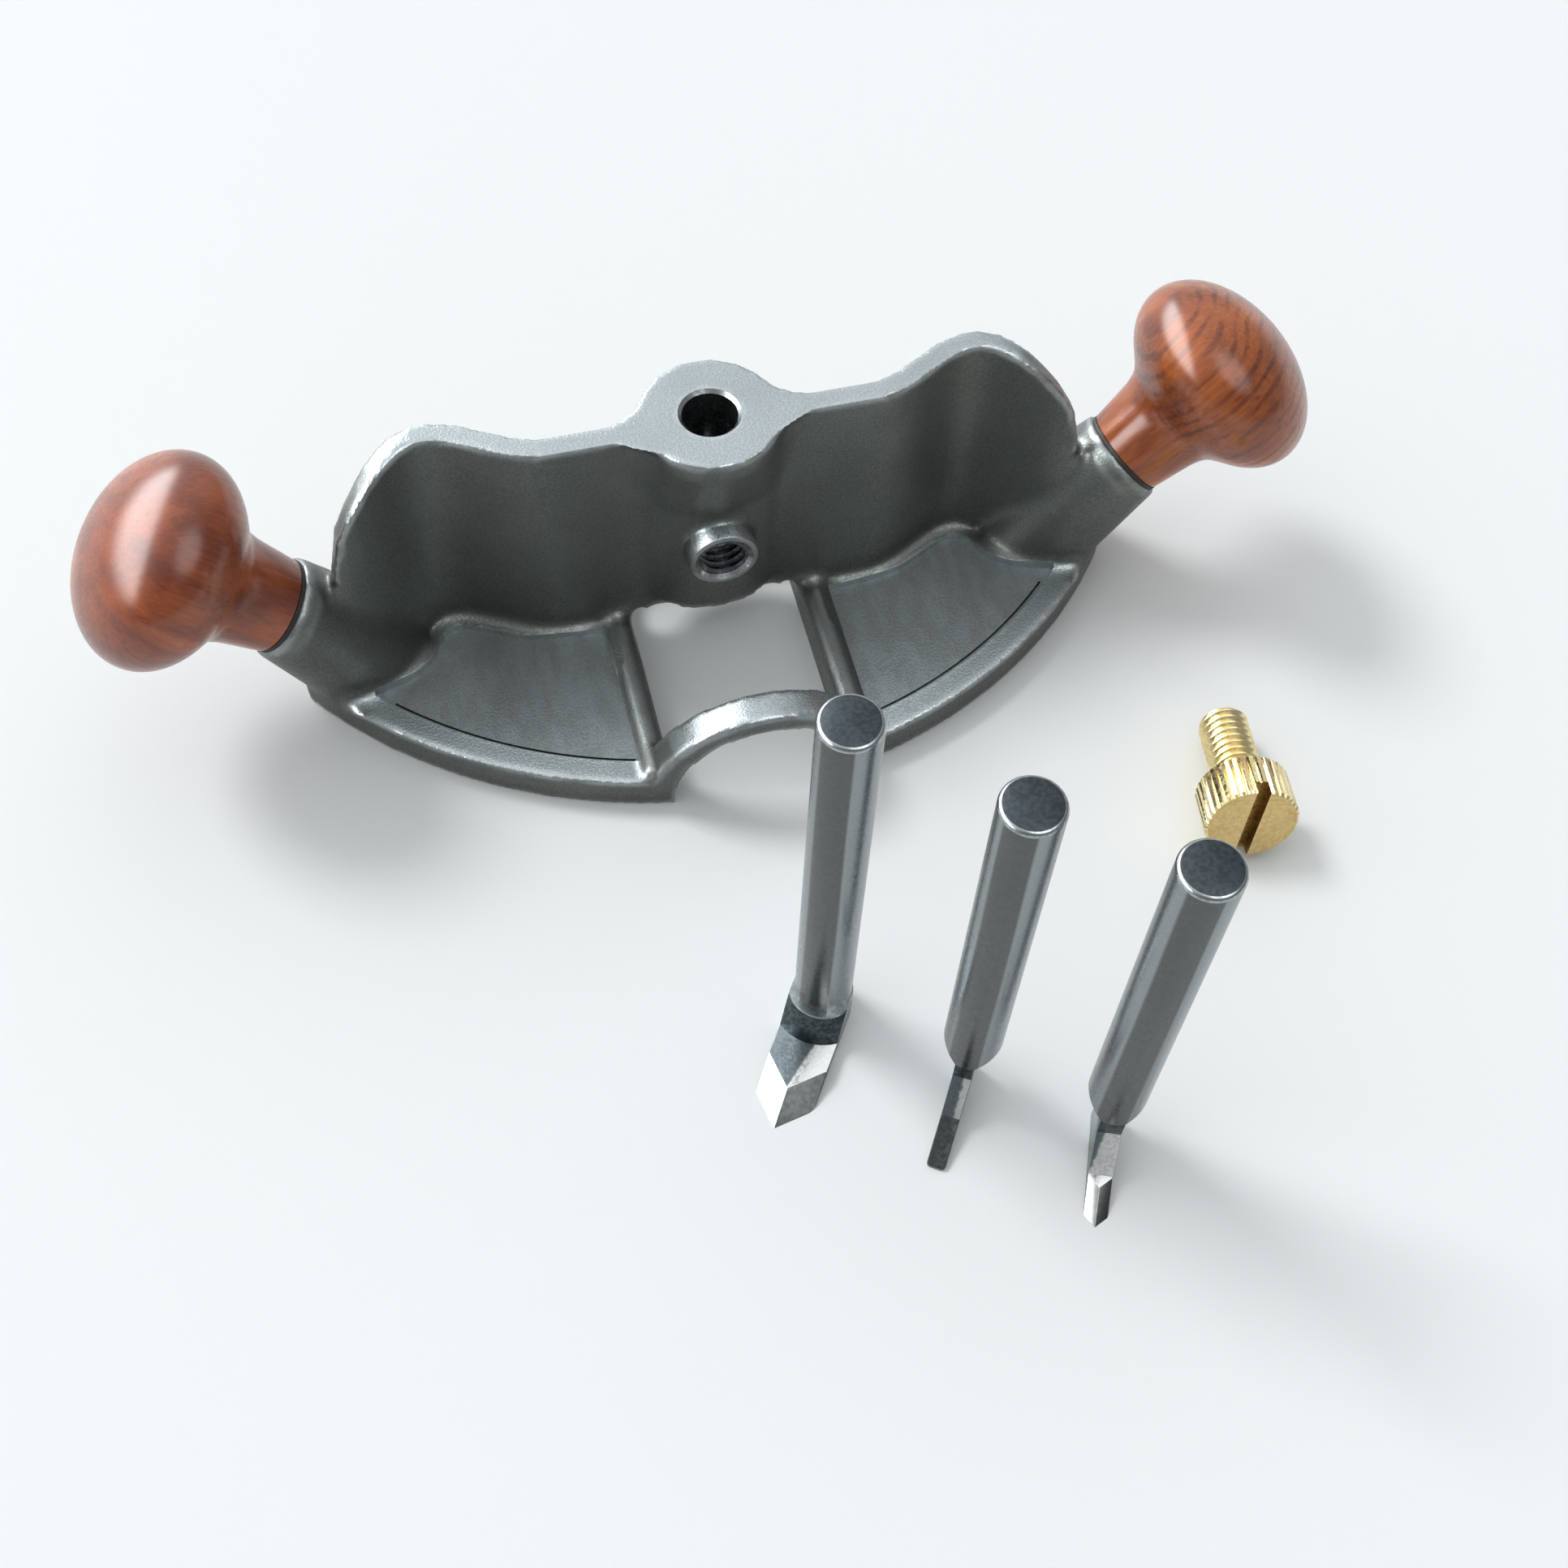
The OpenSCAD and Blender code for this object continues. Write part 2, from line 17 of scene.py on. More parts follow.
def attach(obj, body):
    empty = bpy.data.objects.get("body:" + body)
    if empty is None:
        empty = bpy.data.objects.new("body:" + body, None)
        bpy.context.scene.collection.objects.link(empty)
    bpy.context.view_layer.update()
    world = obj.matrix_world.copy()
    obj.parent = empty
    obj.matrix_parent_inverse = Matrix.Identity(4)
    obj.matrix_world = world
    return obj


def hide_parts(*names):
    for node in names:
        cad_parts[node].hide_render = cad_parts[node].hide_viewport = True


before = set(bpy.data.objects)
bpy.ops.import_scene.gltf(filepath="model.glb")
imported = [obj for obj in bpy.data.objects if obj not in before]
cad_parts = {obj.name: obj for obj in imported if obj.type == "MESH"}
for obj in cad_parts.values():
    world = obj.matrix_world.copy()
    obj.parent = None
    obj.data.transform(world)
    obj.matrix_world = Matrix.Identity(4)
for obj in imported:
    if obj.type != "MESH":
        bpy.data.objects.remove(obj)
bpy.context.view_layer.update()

# Sizes are in millimetres and angles in degrees, where no line says otherwise
LOG = logging.getLogger("router_plane")
MM = 0.001
TABLE_Z = -54.0
KNOB_MOUTH = (76.5, -3.8, TABLE_Z + 28.3)
KNOB_SWING = 7.5
KNOB_LEAN = 90.0 - 41.3
WELD = 1e-4
CRISP = 30.0
ROUND_STEPS = 96
THREAD_STEPS = 48
ARC_STEPS = 48

Colour = tuple[float, float, float]
Way = tuple[float, float, float]
Point = tuple[float, float]


class Side(Enum):
    """The two ends of the plane."""

    LEFT = -1
    RIGHT = 1

    @property
    def word(self) -> str:
        """The side's name as the frame's nodes write it."""
        return self.name.lower()


class Combine(Enum):
    """Ways to put two closed shells together."""

    JOIN = "UNION"
    CUT = "DIFFERENCE"
    COMMON = "INTERSECT"


# Places in the shared frame


def standing(x: float, y: float, turn: float) -> Matrix:
    """Stands a piece on the table, turned about the upright."""
    return Matrix.Translation((x, y, TABLE_Z)) @ Matrix.Rotation(math.radians(turn), 4, "Z")


def along_knob(side: Side) -> Matrix:
    """Puts a piece on a knob's axis, with Z from the socket's mouth out through the knob.

    Args:
        side: The end of the plane that holds the knob.

    Returns:
        The matrix from the piece's own millimetres to the frame's.
    """
    x, y, z = KNOB_MOUTH
    swing = Matrix.Rotation(math.radians(KNOB_SWING * side.value), 4, "Z")
    lean = Matrix.Rotation(math.radians(KNOB_LEAN * side.value), 4, "Y")
    return Matrix.Translation((x * side.value, y, z)) @ swing @ lean


# Meshes


def sweep(section: Sequence[Point], steps: int, turns: int = 1, rise: float = 0.0) -> BMesh:
    """Sweeps a section about Z.

    Args:
        section: Radius and height of each point.
        steps: Sides of one turn.
        turns: Number of turns.
        rise: Rise in one turn. Without one the ends are joined.

    Returns:
        The swept mesh.
    """
    bm = bmesh.new()
    verts = [bm.verts.new((radius, 0.0, height)) for radius, height in section]
    edges = [bm.edges.new(pair) for pair in zip(verts, verts[1:])]
    bmesh.ops.spin(bm, geom=verts + edges, cent=(0.0, 0.0, 0.0), axis=(0.0, 0.0, 1.0),
                   dvec=(0.0, 0.0, rise / steps), angle=math.tau * turns, steps=steps * turns,
                   use_merge=not rise)
    tidy(bm)
    return bm


def lathe(section: Sequence[Point]) -> BMesh:
    """Turns a section of radii and heights, from pole to pole, into a closed shell."""
    return sweep(section, ROUND_STEPS)


def thicken(bm: BMesh, corners: Sequence[Sequence[float]], reach: Sequence[float]) -> None:
    """Fills a flat outline and gives it a thickness.

    Args:
        bm: The mesh that takes the shape.
        corners: The outline's corners.
        reach: Way and length of the thickness.
    """
    face = bm.faces.new([bm.verts.new(corner) for corner in corners])
    grown = bmesh.ops.extrude_face_region(bm, geom=[face])["geom"]
    bmesh.ops.translate(bm, vec=reach, verts=[v for v in grown if isinstance(v, BMVert)])


def plate(bm: BMesh, outline: Sequence[Point], thickness: float) -> None:
    """Draws a flat shape in X and Z with a thickness along Y, half on each side of the middle."""
    thicken(bm, [(x, -thickness / 2, z) for x, z in outline], (0.0, thickness, 0.0))
    tidy(bm)


def prism(bm: BMesh, outline: Sequence[Point], low: float, high: float,
          unit: float = 1.0) -> None:
    """Raises a flat shape in X and Y between two heights, in the mesh's own unit."""
    corners = [(x * unit, y * unit, low * unit) for x, y in outline]
    thicken(bm, corners, (0.0, 0.0, (high - low) * unit))


def slice_off(bm: BMesh, point: Sequence[float], normal: Sequence[float],
              start: float = -math.inf) -> list[BMFace]:
    """Cuts away what lies on the normal's side of a plane and closes the cut.

    Args:
        bm: The mesh to cut.
        point: A point of the plane.
        normal: Points to the side that goes.
        start: Only faces beyond this place along X are cut.

    Returns:
        The faces that close the cut.
    """
    faces = [face for face in bm.faces if face.calc_center_median().x > start]
    chosen = set(faces)
    edges = [edge for edge in bm.edges if not chosen.isdisjoint(edge.link_faces)]
    verts = [vert for vert in bm.verts if not chosen.isdisjoint(vert.link_faces)]
    bmesh.ops.bisect_plane(bm, geom=verts + edges + faces, dist=WELD, plane_co=point,
                           plane_no=normal, clear_outer=True)
    rim = [edge for edge in bm.edges if edge.is_boundary]
    return bmesh.ops.holes_fill(bm, edges=rim, sides=0)["faces"]


def ease_edges(bm: BMesh, width: float, picks: Callable[[BMEdge], bool]) -> None:
    """Rounds chosen edges.

    Args:
        bm: The mesh to change.
        width: How far the rounding reaches on each face.
        picks: Says which edges are rounded.
    """
    chosen = [edge for edge in bm.edges if edge.is_manifold and picks(edge)]
    bmesh.ops.bevel(bm, geom=chosen, offset=width, offset_type="OFFSET", segments=3,
                    profile=0.5, affect="EDGES", material=-1)


def is_crisp(edge: BMEdge) -> bool:
    """Says whether an edge stands out at more than 25 degrees."""
    return edge.calc_face_angle(0.0) > math.radians(25.0) and edge.is_convex


def tooth(root: float, crest: float, pitch: float, foot: float, head: float) -> list[Point]:
    """Draws a thread's tooth over one pitch; its foot and its head start at two heights."""
    return [(root, 0.0), (root, foot), (crest, head), (crest, pitch - head),
            (root, pitch - foot), (root, pitch)]


def helix(section: Sequence[Point], pitch: float, low: float, high: float) -> BMesh:
    """Winds a thread about Z between two heights and closes its ends.

    Args:
        section: Radius and height of the points of one tooth, over one pitch.
        pitch: Rise in one turn.
        low: Height of the lower end.
        high: Height of the upper end.

    Returns:
        The thread's mesh.
    """
    turns = math.ceil((high - low) / pitch) + 2
    bm = sweep([(radius, low - pitch + height) for radius, height in section], THREAD_STEPS,
               turns, pitch)
    slice_off(bm, (0.0, 0.0, low), (0.0, 0.0, -1.0))
    slice_off(bm, (0.0, 0.0, high), (0.0, 0.0, 1.0))
    tidy(bm)
    return bm


def tidy(bm: BMesh) -> None:
    """Merges doubles and turns all faces outwards."""
    bmesh.ops.remove_doubles(bm, verts=bm.verts, dist=WELD)
    bmesh.ops.recalc_face_normals(bm, faces=bm.faces)


def paint(bm: BMesh, finish: Enum, picks: Callable[[BMFace], bool]) -> None:
    """Gives chosen faces a finish.

    Args:
        bm: The mesh to paint.
        finish: Place of the finish in the piece's list.
        picks: Says which faces are painted.
    """
    for face in bm.faces:
        if picks(face):
            face.material_index = finish.value


def place_mesh(bm: BMesh, name: str) -> Object:
    """Makes an object at the origin.

    Args:
        bm: The object's mesh, in metres, which is used up.
        name: Name of the object.

    Returns:
        The object.
    """
    bmesh.ops.recalc_face_normals(bm, faces=bm.faces)
    mesh = bpy.data.meshes.new(name)
    bm.to_mesh(mesh)
    bm.free()
    obj = bpy.data.objects.new(name, mesh)
    bpy.context.scene.collection.objects.link(obj)
    return obj


def make_object(bm: BMesh, name: str, place: Matrix, sharp: float = CRISP) -> Object:
    """Makes an object in metres from a mesh that was drawn in millimetres.

    Args:
        bm: The mesh, which is used up.
        name: Name of the object.
        place: Where the piece goes in the frame.
        sharp: Edges with a larger angle stay crisp.

    Returns:
        The object.
    """
    bmesh.ops.transform(bm, matrix=Matrix.Scale(MM, 4) @ place, verts=bm.verts)
    obj = place_mesh(bm, name)
    shade(obj, sharp)
    return obj


def cover(obj: Object, finishes: Sequence[Material]) -> Object:
    """Gives an object its list of finishes.

    Args:
        obj: The object.
        finishes: The list.

    Returns:
        The same object.
    """
    for material in finishes:
        obj.data.materials.append(material)
    return obj


def shade(obj: Object, sharp: float = CRISP) -> None:
    """Shades an object smooth, with crisp edges past an angle."""
    obj.data.shade_smooth()
    obj.data.set_sharp_from_angle(angle=math.radians(sharp))


def apply_modifiers(obj: Object) -> None:
    """Turns an object's modifiers into its mesh.

    Args:
        obj: The object.
    """
    graph = bpy.context.evaluated_depsgraph_get()
    made = bpy.data.meshes.new_from_object(obj.evaluated_get(graph))
    old = obj.data
    obj.modifiers.clear()
    obj.data = made
    bpy.data.meshes.remove(old)
    made.name = obj.name


def combine(target: Object, tool: Object, how: Combine) -> None:
    """Joins, cuts or crosses an object with a second one, which is used up.

    Args:
        target: The object that stays.
        tool: The object that goes.
        how: What is done with the two.
    """
    step = target.modifiers.new("combine", "BOOLEAN")
    step.operation = how.value
    step.solver = "EXACT"
    step.object = tool
    apply_modifiers(target)
    mesh = tool.data
    bpy.data.objects.remove(tool)
    bpy.data.meshes.remove(mesh)


def curve_through(points: Sequence[Point], per_span: int = 6) -> list[Point]:
    """Draws a smooth line through points.

    Args:
        points: The points that the line passes.
        per_span: Points between one given point and the next.

    Returns:
        The line's points.
    """
    ends = [points[0], *points, points[-1]]
    line: list[Point] = []
    for a, b, c, d in zip(ends, ends[1:], ends[2:], ends[3:]):
        for i in range(per_span):
            t = i / per_span
            line.append(tuple(
                0.5 * (2 * q + (r - p) * t + (2 * p - 5 * q + 4 * r - s) * t**2
                       + (3 * q - p - 3 * r + s) * t**3)
                for p, q, r, s in zip(a, b, c, d)
            ))
    return [*line, points[-1]]


# Node trees


class Graph:
    """Short ways to add and join the nodes of one tree."""

    def __init__(self, tree: NodeTree) -> None:
        """Takes a tree and empties it."""
        self.tree = tree
        tree.nodes.clear()

    def add(self, kind: str, **settings: object) -> Node:
        """Adds a shader node.

        Args:
            kind: The node's type, without its leading words.
            settings: Values of the node's own properties.

        Returns:
            The new node.
        """
        node = self.tree.nodes.new("ShaderNode" + kind)
        for name, value in settings.items():
            setattr(node, name, value)
        return node

    def put(self, socket: NodeSocket, value: object) -> None:
        """Joins an input to another socket, or sets it to a value.

        Args:
            socket: The input.
            value: The socket to join, or the value.
        """
        if isinstance(value, NodeSocket):
            self.tree.links.new(value, socket)
        else:
            socket.default_value = value

    def feed(self, node: Node, **values: object) -> Node:
        """Sets or joins a node's inputs.

        Args:
            node: The node to feed.
            values: A socket to join or a value, by the input's name with _ for a space.

        Returns:
            The same node.
        """
        for name, value in values.items():
            self.put(node.inputs[name.replace("_", " ")], value)
        return node

    def group(self, tree: NodeTree, **values: object) -> Node:
        """Places a node group with its own values."""
        return self.feed(self.add("Group", node_tree=tree), **values)

    def work(self, kind: str, operation: str, a: object, b: object) -> Node:
        """Adds a node that works on two values or two vectors.

        Args:
            kind: The node's type, without its leading words.
            operation: What it does.
            a: First value.
            b: Second value.

        Returns:
            The new node.
        """
        node = self.add(kind, operation=operation)
        for socket, value in zip(node.inputs, (a, b)):
            self.put(socket, value)
        return node

    def math(self, operation: str, a: NodeSocket | float, b: NodeSocket | float) -> NodeSocket:
        """Works out one value from two."""
        return self.work("Math", operation, a, b).outputs["Value"]

    def plus(self, a: NodeSocket | float, b: NodeSocket | float) -> NodeSocket:
        """Adds two values."""
        return self.math("ADD", a, b)

    def minus(self, a: NodeSocket | float, b: NodeSocket | float) -> NodeSocket:
        """Takes the second value from the first."""
        return self.math("SUBTRACT", a, b)

    def times(self, a: NodeSocket, b: NodeSocket | float) -> NodeSocket:
        """Multiplies two values."""
        return self.math("MULTIPLY", a, b)

    def between(self, a: NodeSocket, b: NodeSocket, share: float) -> NodeSocket:
        """Adds a share of the first value to the rest of the second."""
        return self.plus(self.times(a, share), self.times(b, 1.0 - share))

    def stretch(self, vector: NodeSocket, scale: Way) -> NodeSocket:
        """Stretches coordinates by a factor along each axis."""
        return self.work("VectorMath", "MULTIPLY", vector, scale).outputs["Vector"]

    def along(self, vector: NodeSocket, way: Way) -> NodeSocket:
        """How far a vector points along a direction."""
        unit = Vector(way).normalized()
        return self.work("VectorMath", "DOT_PRODUCT", vector, unit).outputs["Value"]

    def apart(self, vector: NodeSocket) -> Node:
        """Takes a vector apart into X, Y and Z."""
        return self.feed(self.add("SeparateXYZ"), Vector=vector)

    def on_axis(self, where: NodeSocket, axis: Matrix) -> NodeSocket:
        """Turns the frame's coordinates, in metres, to a piece's own axis."""
        turn = self.feed(self.add("Mapping", vector_type="TEXTURE"), Vector=where,
                         Location=axis.translation * MM, Rotation=axis.to_euler())
        return turn.outputs["Vector"]

    def noise(self, vector: NodeSocket, scale: NodeSocket | float, detail: float = 2.0,
              distortion: float = 0.0) -> NodeSocket:
        """A cloud of values from 0 to 1, with finer clouds inside and a swirl."""
        node = self.feed(self.add("TexNoise"), Vector=vector, Scale=scale, Detail=detail,
                         Distortion=distortion)
        return node.outputs["Fac"]

    def spread(self, value: NodeSocket, low: float, high: float, to_low: float = 0.0,
               to_high: float = 1.0) -> NodeSocket:
        """Spreads one span of a value over another, with soft ends."""
        node = self.feed(self.add("MapRange", interpolation_type="SMOOTHSTEP"), Value=value,
                         From_Min=low, From_Max=high, To_Min=to_low, To_Max=to_high)
        return node.outputs["Result"]

    def blend(self, share: NodeSocket, a: NodeSocket | Colour,
              b: NodeSocket | Colour) -> NodeSocket:
        """Blends two colours.

        Args:
            share: Share of the second colour.
            a: First colour.
            b: Second colour.

        Returns:
            The blended colour.
        """
        node = self.add("Mix", data_type="RGBA", blend_type="MIX")
        self.put(node.inputs["Factor"], share)
        for socket, value in zip((node.inputs[6], node.inputs[7]), (a, b)):
            self.put(socket, value if isinstance(value, NodeSocket) else (*value, 1.0))
        return node.outputs[2]

    def ramp(self, value: NodeSocket, stops: Sequence[tuple[float, Colour]]) -> NodeSocket:
        """Turns a value into a colour.

        Args:
            value: The value, from 0 to 1.
            stops: Places along the ramp and their colours.

        Returns:
            The colour.
        """
        node = self.add("ValToRGB")
        band = node.color_ramp
        while len(band.elements) < len(stops):
            band.elements.new(0.5)
        for element, (at, colour) in zip(band.elements, stops):
            element.position = at
            element.color = (*colour, 1.0)
        self.put(node.inputs["Fac"], value)
        return node.outputs["Color"]

    def bump(self, height: NodeSocket, distance: float, strength: float) -> NodeSocket:
        """A normal that follows a height, whose 1 stands for a distance in metres."""
        node = self.feed(self.add("Bump"), Height=height, Distance=distance, Strength=strength)
        return node.outputs["Normal"]


def new_group(name: str, inputs: Sequence[tuple[str, str]],
              outputs: Sequence[tuple[str, str]]) -> tuple[Graph, Node, Node]:
    """Starts a shader node group.

    Args:
        name: The group's name.
        inputs: Name and kind of each input.
        outputs: Name and kind of each output.

    Returns:
        The group's graph, its input node and its output node.
    """
    tree = bpy.data.node_groups.new(name, "ShaderNodeTree")
    for in_out, sockets in (("INPUT", inputs), ("OUTPUT", outputs)):
        for label, kind in sockets:
            tree.interface.new_socket(label, in_out=in_out, socket_type="NodeSocket" + kind)
    graph = Graph(tree)
    return graph, tree.nodes.new("NodeGroupInput"), tree.nodes.new("NodeGroupOutput")


@cache
def speckle_group() -> NodeTree:
    """Fine bright and dark grains over soft clouds, as on blasted or cast metal.

    Returns:
        The group, with the outputs Tone and Height.
    """
    graph, given, result = new_group(
        "speckle", [("Vector", "Vector"), ("Grain", "Float"), ("Cloud", "Float")],
        [("Tone", "Float"), ("Height", "Float")])
    where = given.outputs["Vector"]
    sharp = graph.spread(graph.noise(where, given.outputs["Grain"], 2.0), 0.34, 0.66)
    soft = graph.spread(graph.noise(where, given.outputs["Cloud"], 3.0), 0.3, 0.7)
    graph.feed(result, Tone=graph.between(sharp, soft, 0.6), Height=sharp)
    return graph.tree


@cache
def scuff_group() -> NodeTree:
    """Fine short scratches that run one way.

    Returns:
        The group, with the output Mask.
    """
    graph, given, result = new_group(
        "scuffs", [("Vector", "Vector"), ("Scale", "Float"), ("Amount", "Float")],
        [("Mask", "Float")])
    lines = graph.noise(given.outputs["Vector"], given.outputs["Scale"], 3.0)
    few = graph.spread(lines, 0.52, 0.72)
    graph.feed(result, Mask=graph.times(few, given.outputs["Amount"]))
    return graph.tree


@dataclass(frozen=True)
class Finish:
    """What all finishes share.

    Attributes:
        name: Name of the material.
        roughness: Mean roughness.
        metallic: 1 on metal.
    """

    name: str
    roughness: float
    metallic: float = 1.0

    def start(self) -> tuple[Material, Graph, Node, NodeSocket]:
        """Starts the material.

        Returns:
            The material, its graph, its shader and the object's coordinates.
        """
        material = bpy.data.materials.new(self.name)
        material.use_nodes = True
        graph = Graph(material.node_tree)
        shader = graph.add("BsdfPrincipled")
        graph.feed(shader, Metallic=self.metallic)
        graph.feed(graph.add("OutputMaterial"), Surface=shader.outputs["BSDF"])
        where = graph.add("TexCoord").outputs["Object"]
        return material, graph, shader, where

    def rough(self, graph: Graph, tone: NodeSocket, play: float, low: float = 0.2,
              high: float = 0.8) -> NodeSocket:
        """Roughness that falls, by a play to either side, where a tone rises."""
        return graph.spread(tone, low, high, self.roughness + play, self.roughness - play)


@dataclass(frozen=True)
class CastFinish(Finish):
    """Blasted cast metal with painted light: painted shade on the sides, painted light on the
    tops, worn edges with a painted highlight, and painted shade in the hollows.

    Attributes:
        shaded: Colours of the dark and light grains on the sides, darkened as painted shade.
        bright: Colours of the dark and light grains on the tops, lightened as painted light.
        worn_edge_highlight: Colour of the worn edges, lightened further as a painted highlight.
        hollow_shade: Colour in the hollows, as painted shade.
        plain: Share of the bright colours where no points are marked, or below 0.
    """

    shaded: tuple[Colour, Colour] = ((0.100, 0.107, 0.098), (0.152, 0.161, 0.151))
    bright: tuple[Colour, Colour] = ((0.30, 0.336, 0.35), (0.44, 0.485, 0.50))
    worn_edge_highlight: Colour = (0.62, 0.67, 0.69)
    hollow_shade: Colour = (0.07, 0.075, 0.07)
    plain: float = -1.0

    def make(self) -> Material:
        """Makes the material.

        Returns:
            The material.
        """
        material, graph, shader, where = self.start()
        grain = graph.group(speckle_group(), Vector=where, Grain=2400.0, Cloud=60.0)
        tone = grain.outputs["Tone"]
        shaded = graph.blend(tone, *self.shaded)
        bright = graph.blend(tone, *self.bright)
        rough = self.rough(graph, tone, 0.05)
        if self.plain >= 0.0:
            scour = graph.spread(graph.noise(graph.stretch(where, (1.0, 0.35, 1.0)), 420.0, 4.0),
                                 0.35, 0.65, 0.86 * self.plain, 1.14 * self.plain)
            colour = graph.blend(scour, shaded, bright)
        else:
            # Painted light and shade: the top mark lightens faces that look up and leaves the
            # sides dark.
            top = graph.add("Attribute", attribute_name="polish").outputs["Fac"]
            edge = graph.add("Attribute", attribute_name="edge").outputs["Fac"]
            # Worn edges, also lightened as a painted highlight.
            worn_edge_highlight_mask = graph.times(graph.spread(edge, 0.52, 0.66), graph.spread(
                graph.noise(where, 150.0, 3.0), 0.3, 0.6, 0.10, 0.32))
            top = graph.spread(top, 0.1, 0.9)
            rough = graph.plus(rough, graph.spread(top, 0.0, 1.0, 0.12, 0.0))
            colour = graph.blend(top, shaded, bright)
            colour = graph.blend(worn_edge_highlight_mask, colour, self.worn_edge_highlight)
            # Painted shade: hollows and inner corners are darkened.
            colour = graph.blend(graph.spread(edge, 0.48, 0.30, 0.0, 0.7), colour, self.hollow_shade)
            rough = graph.minus(rough, graph.times(worn_edge_highlight_mask, 0.06))
        graph.feed(shader, Base_Color=colour, Roughness=rough,
                   Normal=graph.bump(grain.outputs["Height"], 0.00006, 0.3))
        return material


@dataclass(frozen=True)
class GroundFinish(Finish):
    """Machined or ground metal with fine lines along one axis.

    Attributes:
        dark: Darker tone.
        light: Lighter tone.
        lines: Stretch of the lines along each axis.
        depth: Depth of the lines, in metres.
        spread: How much the roughness varies.
    """

    dark: Colour = (0.3, 0.3, 0.3)
    light: Colour = (0.5, 0.5, 0.5)
    lines: Way = (60.0, 60.0, 2600.0)
    depth: float = 0.000006
    spread: float = 0.08

    def make(self) -> Material:
        """Makes the material.

        Returns:
            The material.
        """
        material, graph, shader, where = self.start()
        grain = graph.group(speckle_group(), Vector=where, Grain=1400.0, Cloud=110.0)
        along = graph.noise(graph.stretch(where, self.lines), 1.0, 3.0)
        scratch = graph.group(scuff_group(), Vector=graph.stretch(where, (1.0, 1.0, 0.15)),
                              Scale=900.0, Amount=0.5)
        tone = graph.between(along, grain.outputs["Tone"], 0.45)
        colour = graph.blend(graph.spread(tone, 0.25, 0.75), self.dark, self.light)
        colour = graph.blend(scratch.outputs["Mask"], colour, self.light)
        graph.feed(shader, Base_Color=colour,
                   Roughness=self.rough(graph, tone, self.spread, 0.25, 0.75),
                   Normal=graph.bump(along, self.depth, 0.6))
        return material


@dataclass(frozen=True)
class BandedFinish(Finish):
    """Round steel with a painted reflection: a broad dark band along its front and paler flanks,
    fixed to the direction around the shank.

    Attributes:
        dark: Colour of the band, darkened as a painted reflection.
        light: Colour of the flanks, lightened as a painted reflection.
        left: Where the band starts across the front, in radii.
        right: Where the band ends.
    """

    dark: Colour = (0.1, 0.1, 0.1)
    light: Colour = (0.3, 0.3, 0.3)
    left: float = -0.60
    right: float = 0.44

    def make(self, axis: Matrix) -> Material:
        """Makes the material.

        Args:
            axis: The shank's axis, with X to the front.

        Returns:
            The material.
        """
        material, graph, shader, where = self.start()
        flat = graph.stretch(graph.on_axis(where, axis), (1.0, 1.0, 0.0))
        out = graph.feed(graph.add("VectorMath", operation="NORMALIZE"), Vector=flat)
        split = graph.apart(out.outputs["Vector"])
        sway = graph.times(graph.noise(where, 25.0, 0.0), 0.1)
        across = graph.plus(split.outputs["Y"], graph.minus(sway, 0.05))
        # Painted reflection: a dark band across the front and pale flanks, fixed to the shank.
        band = graph.times(graph.spread(across, self.left - 0.05, self.left + 0.05),
                           graph.spread(across, self.right + 0.05, self.right - 0.05))
        band = graph.times(band, graph.spread(split.outputs["X"], 0.0, 0.2))
        grain = graph.group(speckle_group(), Vector=where, Grain=900.0, Cloud=70.0)
        turned = graph.noise(graph.stretch(where, (1200.0, 1200.0, 60.0)), 1.0, 2.0)
        tone = graph.between(turned, grain.outputs["Tone"], 0.5)
        shine = graph.spread(tone, 0.2, 0.8, 0.0, 0.06)
        dark = graph.blend(shine, self.dark, self.light)
        pale = graph.blend(shine, self.light, tuple(1.25 * c for c in self.light))
        graph.feed(shader, Base_Color=graph.blend(band, pale, dark),
                   Roughness=self.rough(graph, tone, 0.03),
                   Normal=graph.bump(turned, 0.000001, 0.2))
        return material


@dataclass(frozen=True)
class FacetFinish(Finish):
    """A ground facet with a painted reflection: darker on one side and near white on the other.

    Attributes:
        shaded: Colour of the side without the painted reflection.
        bright: Colour of the side with the painted reflection.
        border: Where the painted reflection starts at the shank's axis, in metres.
        lean: How much that border leans along the foot.
    """

    shaded: Colour = (0.17, 0.21, 0.235)
    bright: Colour = (0.94, 0.95, 0.95)
    border: float = 0.0031
    lean: float = 0.19

    def make(self, axis: Matrix) -> Material:
        """Makes the material.

        Args:
            axis: The shank's axis, with X along the foot.

        Returns:
            The material.
        """
        material, graph, shader, where = self.start()
        split = graph.apart(graph.on_axis(where, axis))
        across = graph.plus(split.outputs["Y"], graph.times(split.outputs["X"], self.lean))
        ragged = graph.times(graph.noise(where, 700.0, 4.0), 0.0012)
        # Painted reflection: the side past the border gets the near-white colour.
        side = graph.spread(graph.plus(across, ragged), self.border + 0.0003,
                            self.border + 0.0009)
        grain = graph.group(speckle_group(), Vector=where, Grain=1800.0, Cloud=320.0)
        mottle = graph.spread(grain.outputs["Tone"], 0.25, 0.75, 0.0, 0.10)
        colour = graph.blend(side, graph.blend(mottle, self.shaded, self.bright),
                             graph.blend(mottle, self.bright, (1.0, 1.0, 1.0)))
        graph.feed(shader, Base_Color=colour,
                   Roughness=self.rough(graph, grain.outputs["Tone"], 0.06),
                   Normal=graph.bump(grain.outputs["Height"], 0.000008, 0.4))
        return material


